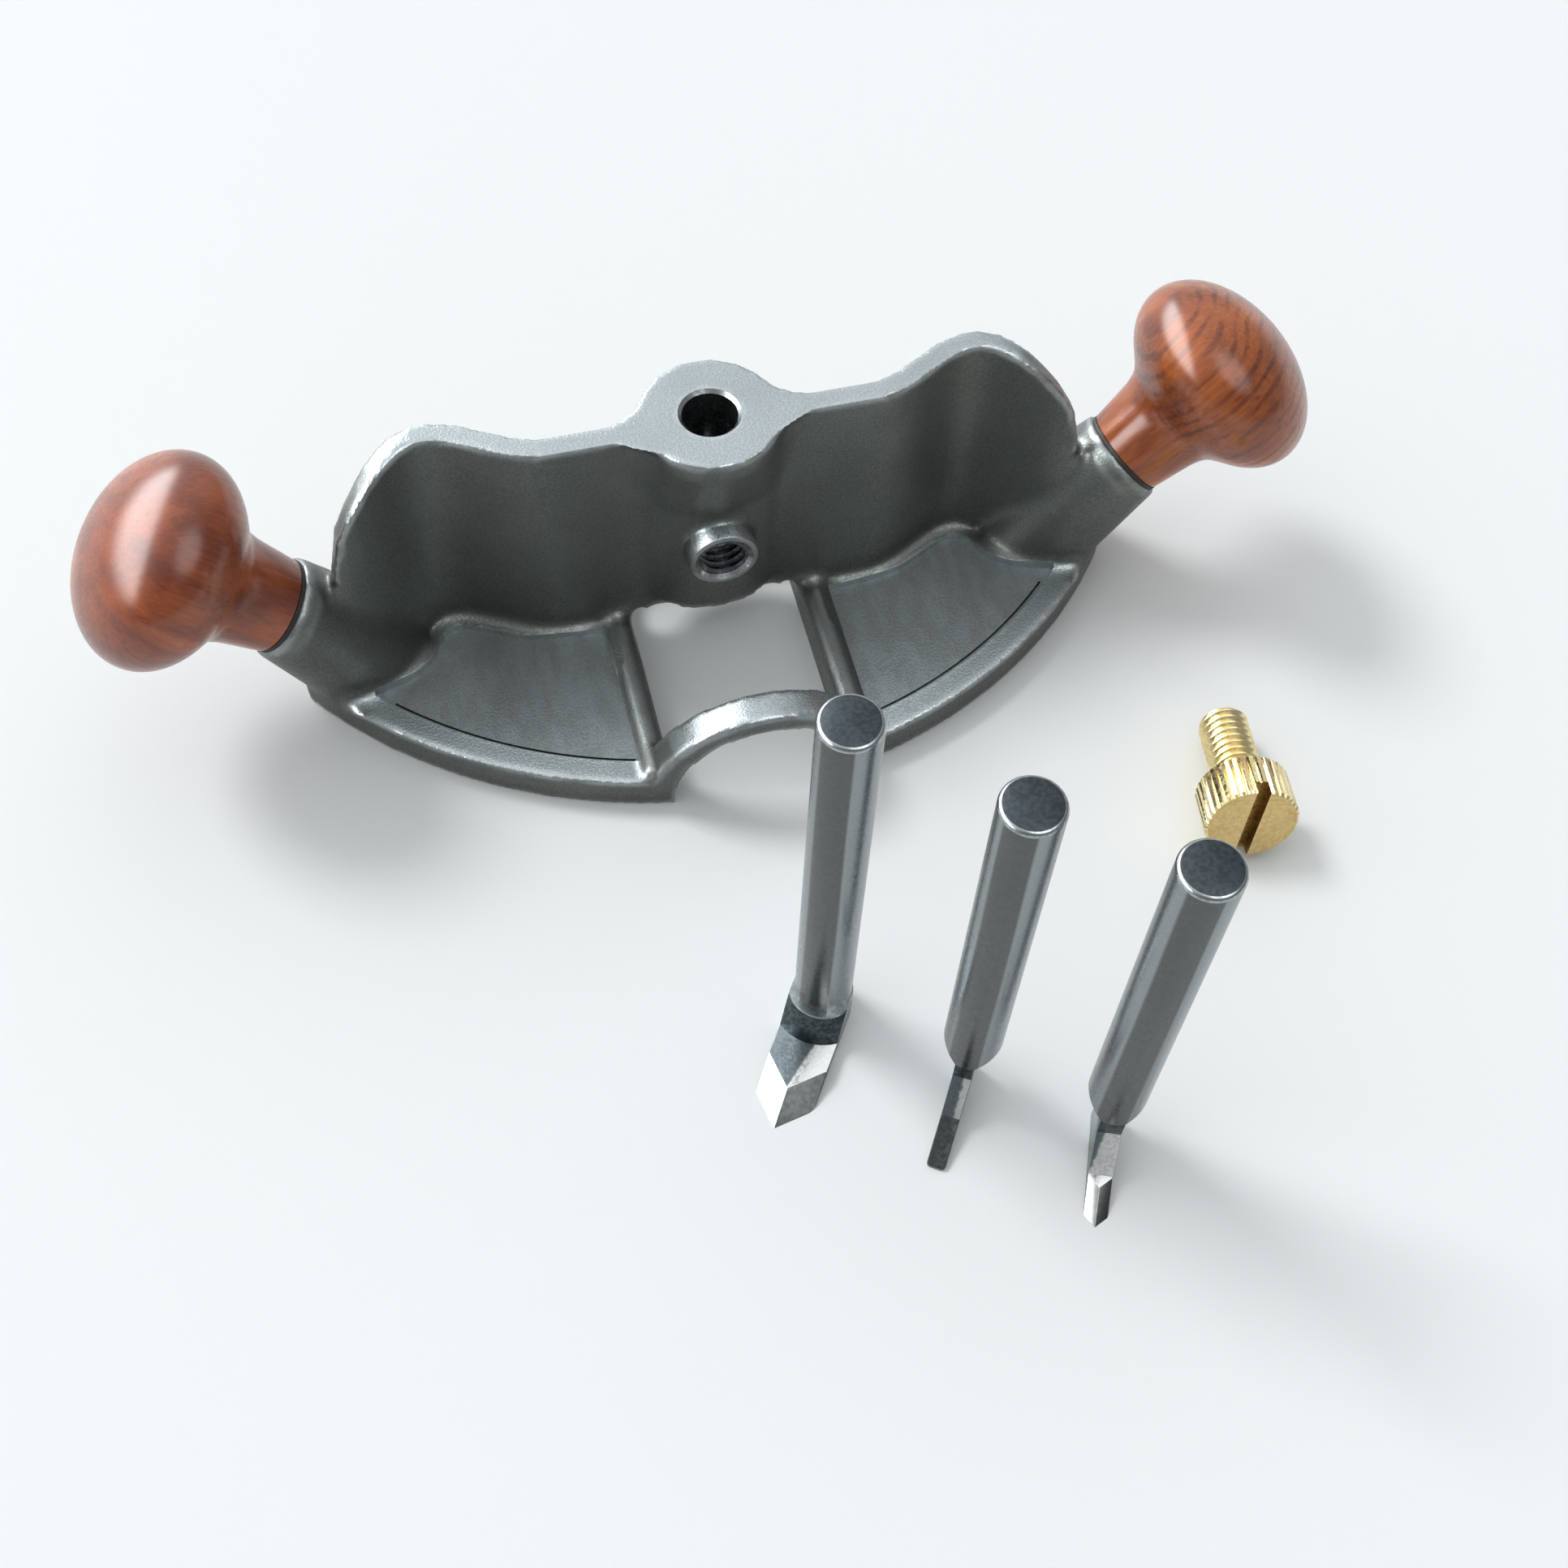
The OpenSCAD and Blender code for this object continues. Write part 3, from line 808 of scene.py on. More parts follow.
@dataclass(frozen=True)
class WoodFinish(Finish):
    """Turned wood with lines along the knob's axis and a satin coat.

    Attributes:
        stops: Colours from the darkest line to the palest wood.
        across: Which way the layers lie, beside the knob's axis.
        line_w: Distance from one line to the next, in metres.
        sway: How far the lines sway, in metres.
        lines: Strength of the dark lines.
        blur: How soft the lines are, from 0 to 1.
        cloudy: Strength of the cloudy figure.
    """

    stops: tuple[tuple[float, Colour], ...] = ()
    across: Way = (1.0, 0.0, 0.0)
    line_w: float = 0.003
    sway: float = 0.022
    lines: float = 0.5
    blur: float = 0.3
    cloudy: float = 0.5

    def make(self, axis: Matrix) -> Material:
        """Makes the material.

        Args:
            axis: The knob's axis.

        Returns:
            The material.
        """
        material, graph, shader, where = self.start()
        own = graph.on_axis(where, axis)
        sway = graph.noise(graph.stretch(own, (1.0, 1.0, 0.45)), 42.0, 2.0)
        ripple = graph.noise(graph.stretch(own, (1.0, 1.0, 0.25)), 260.0, 2.0)
        depth = graph.plus(graph.along(own, self.across), graph.times(sway, self.sway))
        depth = graph.plus(depth, graph.times(ripple, 0.0012))
        wave = graph.math("SINE", graph.times(depth, math.tau / self.line_w), 0.0)
        line = graph.spread(wave, 0.80 - 1.2 * self.blur, 1.0)
        uneven = graph.spread(graph.noise(graph.stretch(own, (1.0, 1.0, 0.3)), 150.0, 2.0),
                              0.35, 0.65)
        line = graph.times(line, uneven)
        fibre = graph.noise(graph.stretch(own, (1.0, 1.0, 0.05)), 1700.0, 3.0)
        cloud = graph.noise(graph.stretch(own, (1.0, 1.0, 0.55)), 85.0, 4.0, 0.6)
        fleck = graph.spread(graph.noise(graph.stretch(own, (1.0, 1.0, 0.08)), 700.0, 2.0),
                             0.62, 0.74)
        value = graph.plus(0.46, graph.times(
            graph.minus(cloud, 0.5), 1.6 * self.cloudy))
        value = graph.plus(value, graph.times(graph.minus(fibre, 0.5), 0.38))
        value = graph.minus(value, graph.times(line, self.lines))
        value = graph.minus(value, graph.times(fleck, 0.14))
        rough = graph.spread(fibre, 0.3, 0.7, self.roughness + 0.05, self.roughness - 0.04)
        graph.feed(shader, Base_Color=graph.ramp(value, self.stops), Roughness=rough,
                   Coat_Weight=0.75, Coat_Roughness=0.22, Coat_IOR=1.6, Specular_IOR_Level=0.15,
                   Normal=graph.bump(fibre, 0.00002, 0.15))
        return material


@dataclass(frozen=True)
class FibreFinish(Finish):
    """Dark pressed fibre with a faint grain.

    Attributes:
        dark: Darker tone.
        light: Lighter tone.
    """

    dark: Colour = (0.012, 0.011, 0.010)
    light: Colour = (0.03, 0.027, 0.025)

    def make(self) -> Material:
        """Makes the material.

        Returns:
            The material.
        """
        material, graph, shader, where = self.start()
        grain = graph.group(speckle_group(), Vector=where, Grain=2600.0, Cloud=300.0)
        tone = grain.outputs["Tone"]
        graph.feed(shader, Base_Color=graph.blend(tone, self.dark, self.light),
                   Roughness=self.rough(graph, tone, 0.08, 0.0, 1.0),
                   Normal=graph.bump(grain.outputs["Height"], 0.00004, 0.4))
        return material


class Shop:
    """All the finishes, made once."""

    def __init__(self) -> None:
        """Makes the materials that more than one piece uses."""
        self.cast = CastFinish("cast_metal", 0.31, 0.8).make()
        self.pocket = CastFinish("pocket_metal", 0.33, 0.4, plain=0.72).make()
        self.tapped = self.ground("tapped_metal", 0.34, (0.05, 0.055, 0.06), (0.12, 0.13, 0.14))
        self.bored = self.ground("bored_metal", 0.32, (0.20, 0.21, 0.22), (0.40, 0.42, 0.43))
        self.shank_top = self.ground(
            "sawn_top", 0.36, (0.045, 0.053, 0.060), (0.072, 0.086, 0.097), 240.0, spread=0.04)
        self.toe = self.ground(
            "dull_toe", 0.38, (0.030, 0.032, 0.033), (0.048, 0.051, 0.052), 500.0, spread=0.04)
        self.ring = self.ground(
            "eased_ring", 0.24, (0.27, 0.29, 0.30), (0.38, 0.405, 0.41), 200.0)
        # Dark forge oxide on the cutters' necks; on the casting it also paints the rim's groove
        # dark as shade.
        self.oxide = self.ground(
            "forged_neck_and_shade_line", 0.36, (0.035, 0.044, 0.046), (0.085, 0.10, 0.105), 300.0, depth=0.00003)
        # Lit and shaded copies of one ground bevel: painted light on the left bevel, painted shade
        # on the right.
        self.honed = self.ground("honed_bevel", 0.20, (0.30, 0.31, 0.31), (0.35, 0.36, 0.36),
                                 500.0, depth=0.000001, spread=0.03)
        self.satin = self.ground("painted_shaded_bevel", 0.30, (0.072, 0.077, 0.079),
                                 (0.092, 0.097, 0.099), 900.0, depth=0.000002, spread=0.03)
        self.brass = self.ground(
            "turned_brass", 0.24, (0.74, 0.60, 0.30), (0.90, 0.77, 0.45), 400.0, depth=0.000002)
        self.brass_face = self.ground(
            "faced_brass", 0.34, (0.58, 0.41, 0.175), (0.67, 0.49, 0.22), 300.0, depth=0.000002)
        self.brass_slot = self.ground(
            "sawn_brass", 0.42, (0.20, 0.115, 0.03), (0.36, 0.22, 0.07), 1200.0)
        self.stud = self.ground("stud_steel", 0.26, (0.36, 0.36, 0.35), (0.55, 0.55, 0.54))
        self.washer = FibreFinish("washer_fibre", 0.55, 0.0).make()

    def ground(self, name: str, roughness: float, dark: Colour, light: Colour,
               even: float = 0.0, **more: float) -> Material:
        """Makes a ground finish.

        Args:
            name: Name of the material.
            roughness: Mean roughness.
            dark: Darker tone.
            light: Lighter tone.
            even: Stretch of grains without a direction, in place of lines.
            more: Other values of the finish.

        Returns:
            The material.
        """
        lines = {"lines": (even, even, even)} if even else {}
        return GroundFinish(name, roughness, dark=dark, light=light, **lines, **more).make()


def dress_node(node: str, material: Material) -> None:
    """Gives a carried-over node a finish.

    Args:
        node: The node's name.
        material: The finish.
    """
    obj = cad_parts[node]
    for place in obj.material_slots:
        place.link = "OBJECT"
        place.material = material
    LOG.info("%s: dressed in %s", node, material.name)


def hand_over(obj: Object, body: str, slot: str, *nodes: str) -> None:
    """Ties a piece to the frame.

    Args:
        obj: The piece.
        body: The body that it rides on.
        slot: Name of a finish; not used.
        nodes: The nodes that it stands for.
    """
    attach(obj, body)
    if nodes:
        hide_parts(*nodes)
    LOG.info("%s: %d faces, rides on %s", obj.name, len(obj.data.polygons), body)


# The pieces


class Grey(Enum):
    """Places of the finishes in the casting's list."""

    CAST = 0
    BORED = 1
    POCKET = 2
    LINE = 3


@dataclass(frozen=True)
class Zone:
    """A part of the casting, alike on both sides.

    Attributes:
        x: Nearest and furthest place from the middle.
        y: Foremost and rearmost place.
        z: Lowest and highest place.
    """

    x: Point = (-math.inf, math.inf)
    y: Point = (-math.inf, math.inf)
    z: Point = (-math.inf, math.inf)

    def holds(self, vert: BMVert) -> bool:
        """Says whether a point, in metres, lies in the zone."""
        spans = zip((abs(vert.co.x), vert.co.y, vert.co.z), (self.x, self.y, self.z))
        return all(low * MM < value < high * MM for value, (low, high) in spans)


@dataclass
class BodyCasting:
    """The grey casting, with cast rounding and crisp bores.

    Attributes:
        voxel: Size of the cells that round the casting.
        passes: Rounds of smoothing.
        fillet_passes: More rounds where the wall and the sockets run into the sole.
        fillet_dip: Relief below which a point lies in an inner corner.
        fillet_rings: Rings of points around such a corner that are smoothed with it.
        corners: Where inner corners are smoothed.
        shaded: Tops that get less of the painted top light, so they stay in painted shade: the
            wall's foot, the ribs and the sockets.
        shaded_share: How much of the painted top light these get.
        mark_passes: Rounds of smoothing of the marks for edges and painted top light.
        edge_y: Middle of the sole's round edge, behind the bore's axis.
        rim_r: Radius of the rim's inner side.
        rib_x: Outer side of a rib.
        pocket_z: Height of the pockets' floor.
        rim_z: Height of the rim's top.
        pocket_rear: Points of the right pocket's wavy rear edge, from the rib outwards.
        line_w: Width of the crisp line along the rim, a groove painted dark as shade.
        line_d: Depth of that line below the floor.
        line_in: Distance of that line from the rim's side.
        line_end: Where that line ends along the plane's length.
        stud_r: Radius of the plug in a stud's hole.
        stud_low: Start of that plug along the knob's axis.
        boss_r: Radius of the boss around the clamp screw's hole.
        bore_r: Radius of the cutter's bore.
        bore_low: Height of the bore's lower end.
        bore_chamfer: Chamfer of the bore's mouth.
        hole_r: Radius of the clamp screw's hole.
        hole_z: Height of the hole.
        hole_mouth: How far in front of the bore's axis the hole opens.
        hole_chamfer: Chamfer of the hole's mouth.
        thread_low: Start of the hole's thread.
        thread_crest: Radius of the thread's furthest points.
        thread_root: Radius of its nearest points.
        pitch: Rise of the thread in one turn.
    """

    voxel: float = 0.62
    passes: int = 3
    fillet_passes: int = 28
    fillet_dip: float = -0.04
    fillet_rings: int = 5
    corners: Zone = Zone(x=(7.5, math.inf), y=(-14.0, math.inf), z=(-48.0, -7.0))
    shaded: tuple[Zone, ...] = (
        Zone(y=(-11.5, math.inf), z=(-48.0, -34.0)),
        Zone(x=(16.0, 22.5), z=(-46.5, -36.0)),
        Zone(x=(56.0, math.inf), z=(-45.0, math.inf)),
    )
    shaded_share: float = 0.36
    mark_passes: int = 4
    edge_y: float = 52.01
    rim_r: float = 89.81
    rib_x: float = 21.2
    pocket_z: float = TABLE_Z + 5.8
    rim_z: float = TABLE_Z + 7.0
    pocket_rear: tuple[Point, ...] = (
        (21.2, -5.6), (28.6, -5.0), (35.7, -3.8), (42.4, -0.6), (47.0, 1.0), (50.2, -0.2),
        (52.4, -4.2), (56.2, -7.4), (61.0, -9.2), (64.0, -10.1),
    )
    line_w: float = 0.42
    line_d: float = 0.35
    line_in: float = 0.85
    line_end: float = 61.0
    stud_r: float = 3.6
    stud_low: float = -16.0
    boss_r: float = 6.2
    bore_r: float = 4.79
    bore_low: float = -44.5
    bore_chamfer: float = 0.6
    hole_r: float = 4.55
    hole_z: float = -26.0
    hole_mouth: float = 11.2
    hole_chamfer: float = 0.7
    thread_low: float = 4.9
    thread_crest: float = 4.5
    thread_root: float = 3.8
    pitch: float = 1.58

    @property
    def hole_place(self) -> Matrix:
        """The hole's axis, with Z from the bore out through the mouth."""
        return Matrix.Translation((0.0, 0.0, self.hole_z)) @ Matrix.Rotation(math.pi / 2, 4, "X")

    def plug(self, bm: BMesh, place: Matrix, radius: float, low: float, high: float) -> None:
        """Fills a hole before the casting is rounded.

        Args:
            bm: The casting's mesh, in metres.
            place: The hole's axis.
            radius: Radius of the plug.
            low: Start of the plug along the axis.
            high: End of the plug along the axis.
        """
        middle = place @ Matrix.Translation((0.0, 0.0, (low + high) / 2))
        bmesh.ops.create_cone(
            bm, cap_ends=True, segments=ROUND_STEPS, radius1=radius * MM, radius2=radius * MM,
            depth=(high - low) * MM,
            matrix=Matrix.Translation(middle.translation * MM) @ middle.to_3x3().to_4x4())

    def blank(self) -> Object:
        """Copies the node's mesh, fills its holes and rounds it.

        Returns:
            The rounded casting.
        """
        spare = 1.0
        bm = bmesh.new()
        bm.from_mesh(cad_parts["body_casting"].data)
        bmesh.ops.remove_doubles(bm, verts=bm.verts, dist=WELD * MM)
        self.plug(bm, Matrix.Identity(4), self.bore_r + spare, self.bore_low, 0.0)
        self.plug(bm, self.hole_place, self.hole_r + spare, 2.0, self.hole_mouth)
        for side in Side:
            self.plug(bm, along_knob(side), self.stud_r, self.stud_low, 0.0)
            fill = self.pocket(side, front=1.2, rear=3.0)
            prism(bm, fill, self.pocket_z - spare, self.rim_z, MM)
        obj = place_mesh(bm, "casting")
        step = obj.modifiers.new("cells", "REMESH")
        step.mode = "VOXEL"
        step.voxel_size = self.voxel * MM
        apply_modifiers(obj)
        bm = bmesh.new()
        bm.from_mesh(obj.data)
        self.smooth(bm, bm.verts[:], self.passes)
        self.smooth(bm, self.fillet_points(bm), self.fillet_passes)
        bm.to_mesh(obj.data)
        bm.free()
        return obj

    def smooth(self, bm: BMesh, verts: list[BMVert], passes: int) -> None:
        """Smooths points of the casting a number of times."""
        for _ in range(passes):
            bmesh.ops.smooth_vert(bm, verts=verts, factor=0.5, use_axis_x=True,
                                  use_axis_y=True, use_axis_z=True)

    def relief(self, bm: BMesh) -> list[float]:
        """Measures how far each point stands out of the points around it.

        Args:
            bm: The casting's mesh.

        Returns:
            Each point's height over its edges' length, below 0 in a hollow.
        """
        bm.normal_update()
        bm.verts.index_update()
        found = [0.0] * len(bm.verts)
        for vert in bm.verts:
            around = [edge.other_vert(vert).co for edge in vert.link_edges]
            mean = sum(around, Vector()) / len(around)
            reach = sum((co - vert.co).length for co in around) / len(around)
            found[vert.index] = (vert.co - mean).dot(vert.normal) / max(reach, 1e-9)
        return found

    def fillet_points(self, bm: BMesh) -> list[BMVert]:
        """Finds the points around the inner corners of the wall and the sockets.

        Args:
            bm: The casting's mesh.

        Returns:
            The points.
        """
        found = self.relief(bm)
        chosen = {vert for vert in bm.verts
                  if found[vert.index] < self.fillet_dip and self.corners.holds(vert)}
        for _ in range(self.fillet_rings):
            chosen |= {edge.other_vert(vert) for vert in chosen for edge in vert.link_edges}
        return [vert for vert in bm.verts if vert in chosen]

    def pocket(self, side: Side, front: float = 0.0, rear: float = 0.0) -> list[Point]:
        """Draws a pocket's outline: its rib, its wavy rear edge and the rim's arc.

        Args:
            side: The pocket's end of the plane.
            front: How much wider it is at the rib and the rim.
            rear: How much further its rear edge lies back.

        Returns:
            The outline.
        """
        back = [(x, y + rear) for x, y in curve_through(self.pocket_rear)]
        r = self.rim_r + front
        ends = [math.acos(x / r) for x in (self.pocket_rear[-1][0], self.rib_x - front)]
        arc = [(r * math.cos(a), self.edge_y - r * math.sin(a))
               for a in (ends[0] + (ends[1] - ends[0]) * i / ARC_STEPS
                         for i in range(ARC_STEPS + 1))]
        inner = [(self.rib_x - front, back[0][1])] if front else []
        return [(side.value * x, y) for x, y in [*inner, *back, *arc]]

    def rim_lines(self, bm: BMesh) -> None:
        """Draws the tools that cut the crisp line between each pocket and the rim, a groove whose
        faces are painted dark as painted shade.

        Args:
            bm: The mesh that takes them.
        """
        low, high = self.pocket_z - self.line_d, self.pocket_z + 0.6
        outer = self.rim_r - self.line_in
        inner = outer - self.line_w
        middle = Vector((0.0, self.edge_y, 0.0))
        first, last = math.acos(self.line_end / outer), math.acos((self.rib_x + 0.4) / outer)
        for side in Side:
            start = Matrix.Rotation(-first if side is Side.RIGHT else math.pi + first, 4, "Z")
            corners = [(inner, low), (outer, low), (outer, high), (inner, high)]
            face = bm.faces.new([bm.verts.new(middle + start @ Vector((r, 0.0, z)))
                                 for r, z in corners])
            bmesh.ops.spin(bm, geom=[face], cent=middle, axis=(0.0, 0.0, 1.0),
                           angle=(first - last) * side.value, steps=ARC_STEPS,
                           use_merge=False)

    def bore_tool(self, radius: float, chamfer: float, low: float, mouth: float) -> BMesh:
        """Makes a turned tool that cuts a bore with a chamfered mouth.

        Args:
            radius: Radius of the bore.
            chamfer: Chamfer of its mouth.
            low: Height of its lower end.
            mouth: Height of its mouth, past which the tool runs on.

        Returns:
            The tool's mesh, in the finish of bores.
        """
        past = 0.5
        bm = lathe([(0.0, low), (radius, low), (radius, mouth - chamfer),
                    (radius + (chamfer + past), mouth + past), (0.0, mouth + past)])
        paint(bm, Grey.BORED, lambda face: True)
        return bm

    def work(self, obj: Object, bm: BMesh, finishes: Sequence[Material],
             how: Combine = Combine.CUT) -> None:
        """Cuts a tool's shape out of the casting, or adds it.

        Args:
            obj: The casting.
            bm: The tool's mesh.
            finishes: The casting's list of finishes.
            how: What is done with the shape.
        """
        tool = make_object(bm, "tool", Matrix.Identity(4))
        combine(obj, cover(tool, finishes), how)

    def mark_edges(self, obj: Object) -> None:
        """Writes how far each point stands out of what is near it, and how much painted top light
        it gets.

        Args:
            obj: The casting.
        """
        bm = bmesh.new()
        bm.from_mesh(obj.data)
        for name, found in (("edge", [0.5 + 2.0 * x for x in self.relief(bm)]),
                            ("polish", [self.polish(vert) for vert in bm.verts])):
            for _ in range(self.mark_passes):
                found = [0.5 * found[v.index] + 0.5 * sum(
                    found[e.other_vert(v).index] for e in v.link_edges) / len(v.link_edges)
                    for v in bm.verts]
            marks = obj.data.attributes.new(name, "FLOAT", "POINT")
            marks.data.foreach_set("value", [min(1.0, max(0.0, x)) for x in found])
        bm.free()

    def polish(self, vert: BMVert) -> float:
        """Says how much painted light a point gets, from 0 to 1: tops get it, and the zones kept
        in painted shade less.
        """
        # Painted light: the share grows as the point faces up.
        share = min(1.0, max(0.0, (vert.normal.z - 0.4) / 0.4))
        return share * (self.shaded_share if any(zone.holds(vert) for zone in self.shaded) else 1.0)

    def build(self, shop: Shop) -> None:
        """Builds and dresses the casting.

        Args:
            shop: The finishes.
        """
        finishes = (shop.cast, shop.bored, shop.pocket, shop.oxide)
        obj = cover(self.blank(), finishes)
        boss = lathe([(0.0, 3.0), (self.boss_r + 0.15, 3.0), (self.boss_r, self.hole_mouth - 0.5),
                      (self.boss_r - 0.15, self.hole_mouth - 0.15),
                      (self.boss_r - 0.5, self.hole_mouth), (0.0, self.hole_mouth)])
        bmesh.ops.transform(boss, matrix=self.hole_place, verts=boss.verts)
        self.work(obj, boss, finishes, Combine.JOIN)
        bore = self.bore_tool(self.bore_r, self.bore_chamfer, self.bore_low - 2.0, 0.0)
        for side in Side:
            prism(bore, self.pocket(side), self.pocket_z, self.pocket_z + 4.0)
        paint(bore, Grey.POCKET, lambda face: face.material_index == Grey.CAST.value)
        self.work(obj, bore, finishes)
        hole = self.bore_tool(self.hole_r, self.hole_chamfer, 0.0, self.hole_mouth)
        bmesh.ops.transform(hole, matrix=self.hole_place, verts=hole.verts)
        self.rim_lines(hole)
        # Painted shade: the rim's grooves take the dark oxide finish.
        paint(hole, Grey.LINE, lambda face: face.material_index == Grey.CAST.value)
        self.work(obj, hole, finishes)
        shade(obj, 42.0)
        self.mark_edges(obj)
        hand_over(obj, "plane_body", "cast_metal", "body_casting")

    def build_thread(self, shop: Shop) -> None:
        """Builds the thread inside the clamp screw's hole.

        Args:
            shop: The finishes.
        """
        low, high = self.thread_low, self.hole_mouth - self.hole_chamfer
        wide = self.hole_r + 0.2
        bm = lathe([(0.0, low), (wide, low), (wide, high), (0.0, high)])
        sleeve = make_object(bm, "screw_hole_thread", self.hole_place)
        tap = helix(tooth(self.thread_root, self.thread_crest, self.pitch, foot=0.16, head=0.7),
                    self.pitch, low - 1.0, high + 1.0)
        combine(sleeve, make_object(tap, "tap", self.hole_place), Combine.CUT)
        shade(cover(sleeve, [shop.tapped]))
        hand_over(sleeve, "plane_body", "cast_metal")


@dataclass
class Knob:
    """A turned wooden knob with its insert, stud and washer.

    Attributes:
        side: The end of the plane that holds it.
        wood: Its finish.
        neck: Radius and height of points from the neck's foot to the head.
        head_r: Radius of the flattened round head.
        head_half: Half of the head's thickness.
        head_z: Height of the head's middle.
        socket_r: Radius of the hole for the insert.
        socket_top: Height of that hole's end.
        foot: Height of the neck's foot.
        stud_low: Start of the stud.
        stud_high: End of the stud.
        stud_r: Radius of the stud's crest.
        stud_root: Radius of the stud's root.
        pitch: Rise of the stud's thread in one turn.
    """

    side: Side
    wood: WoodFinish
    neck: tuple[Point, ...] = (
        (8.35, 0.75), (8.75, 3.6), (9.15, 6.6), (9.65, 9.2), (10.7, 11.4), (13.33, 13.5),
    )
    head_r: float = 18.85
    head_half: float = 12.3
    head_z: float = 22.2
    socket_r: float = 4.77
    socket_top: float = 16.0
    foot: float = 0.63
    stud_low: float = -14.9
    stud_high: float = 15.9
    stud_r: float = 2.97
    stud_root: float = 2.55
    pitch: float = 1.0

    def build(self, shop: Shop) -> None:
        """Builds and dresses the knob and its stud, and dresses its washer and insert.

        Args:
            shop: The finishes.
        """
        word, place = self.side.word, along_knob(self.side)
        steps = 32
        angles = [math.radians(-45.0 + 135.0 * i / steps) for i in range(1, steps + 1)]
        bm = lathe([(0.0, self.socket_top), (self.socket_r, self.socket_top),
                    (self.socket_r, self.foot), (self.neck[0][0] - 0.2, self.foot),
                    *curve_through(self.neck),
                    *((self.head_r * math.cos(a), self.head_z + self.head_half * math.sin(a))
                      for a in angles)])
        knob = make_object(bm, f"{word}_turned_knob", place, 40.0)
        cover(knob, [self.wood.make(place)])
        hand_over(knob, f"{word}_knob", "knob_wood", f"{word}_knob")
        bm = helix(tooth(self.stud_root, self.stud_r, self.pitch, foot=0.12, head=0.45),
                   self.pitch, self.stud_low, self.stud_high)
        stud = cover(make_object(bm, f"{word}_threaded_stud", place), [shop.stud])
        hand_over(stud, "plane_body", "stud_steel", f"{word}_knob_stud")
        dress_node(f"{word}_knob_washer", shop.washer)
        dress_node(f"{word}_knob_insert", shop.brass)


class Steel(Enum):
    """Places of the finishes in a cutter's list."""

    SHANK = 0
    TOP = 1
    OXIDE = 2
    HONED = 3
    SATIN = 4
    FACET = 5
    RING = 6
    TOE = 7


@dataclass
class Cutter:
    """What the three cutters share: a round shank with a foot.

    Attributes:
        name: Name of the node and body.
        x: Place of the shank along the plane's length.
        y: Place of the shank towards the rear.
        turn: Direction of the foot, in degrees.
        reach: Length of the foot from the shank's axis.
        shank_r: Radius of the shank.
        height: Height of the shank's top.
        border: Where the facet's painted reflection starts at the shank's axis, in metres.
        lean: How much that border leans along the foot.
    """

    name: str
    x: float
    y: float
    turn: float
    reach: float
    shank_r: float = 4.75
    height: float = 86.7
    border: float = 0.0031
    lean: float = 0.19

    @property
    def place(self) -> Matrix:
        """Where the cutter stands."""
        return standing(self.x, self.y, self.turn)

    def shank(self, low: float) -> BMesh:
        """Turns the shank.

        Args:
            low: Height of its lower end.

        Returns:
            The shank's mesh.
        """
        r, top = self.shank_r, self.height
        bm = lathe([(0.0, low), (r, low), (r, top - 0.75), (r - 0.08, top - 0.45),
                    (r - 0.3, top - 0.14), (r - 0.6, top), (0.0, top)])
        paint(bm, Steel.RING,
              lambda face: face.normal.z > 0.2 and face.calc_center_median().z > top - 0.8)
        paint(bm, Steel.TOP,
              lambda face: face.normal.z > 0.9 and face.calc_center_median().z > top - 0.05)
        return bm

    def point(self, bm: BMesh, start: float = -math.inf, angle: float = 30.0) -> None:
        """Cuts a foot to a point with a bevel that rises from each edge.

        Args:
            bm: The foot's mesh.
            start: Only what lies beyond this place along the foot is cut.
            angle: Slope of the bevels, in degrees.
        """
        rise = math.radians(angle)
        # Painted light: the left bevel is lighter and the right bevel darker, though both are
        # ground alike.
        for way, finish in ((-1, Steel.HONED), (1, Steel.SATIN)):
            inward = Vector((-1.0, -way, 0.0)).normalized()
            normal = Vector((0.0, 0.0, math.cos(rise))) - inward * math.sin(rise)
            for face in slice_off(bm, (self.reach, 0.0, 0.0), normal, start):
                face.material_index = finish.value
        tidy(bm)

    def finish(self, parts: Sequence[Object]) -> None:
        """Gathers a cutter's closed shells, which reach into each other, into one piece.

        Args:
            parts: The shank and the parts of the foot, dressed.
        """
        bm = bmesh.new()
        for part in parts:
            bm.from_mesh(part.data)
        whole = parts[0]
        bm.to_mesh(whole.data)
        bm.free()
        for part in parts[1:]:
            bpy.data.meshes.remove(part.data)
        shade(whole)
        hand_over(whole, self.name, "cutter_steel", self.name)

    def dress(self, shop: Shop) -> list[Material]:
        """Makes the cutter's list of finishes, in the order of Steel.

        Args:
            shop: The finishes.

        Returns:
            The list.
        """
        # The shank's band and flanks are a painted reflection.
        shank = BandedFinish(
            f"{self.name}_shank", 0.27, dark=(0.108, 0.113, 0.110), light=(0.27, 0.29, 0.295))
        facet = FacetFinish(f"{self.name}_facet", 0.22, border=self.border, lean=self.lean)
        return [shank.make(self.place), shop.shank_top, shop.oxide, shop.honed, shop.satin,
                facet.make(self.place), shop.ring, shop.toe]

    def part(self, bm: BMesh, word: str, finishes: Sequence[Material]) -> Object:
        """Makes one dressed part of the cutter."""
        return cover(make_object(bm, f"{self.name}_{word}", self.place), finishes)


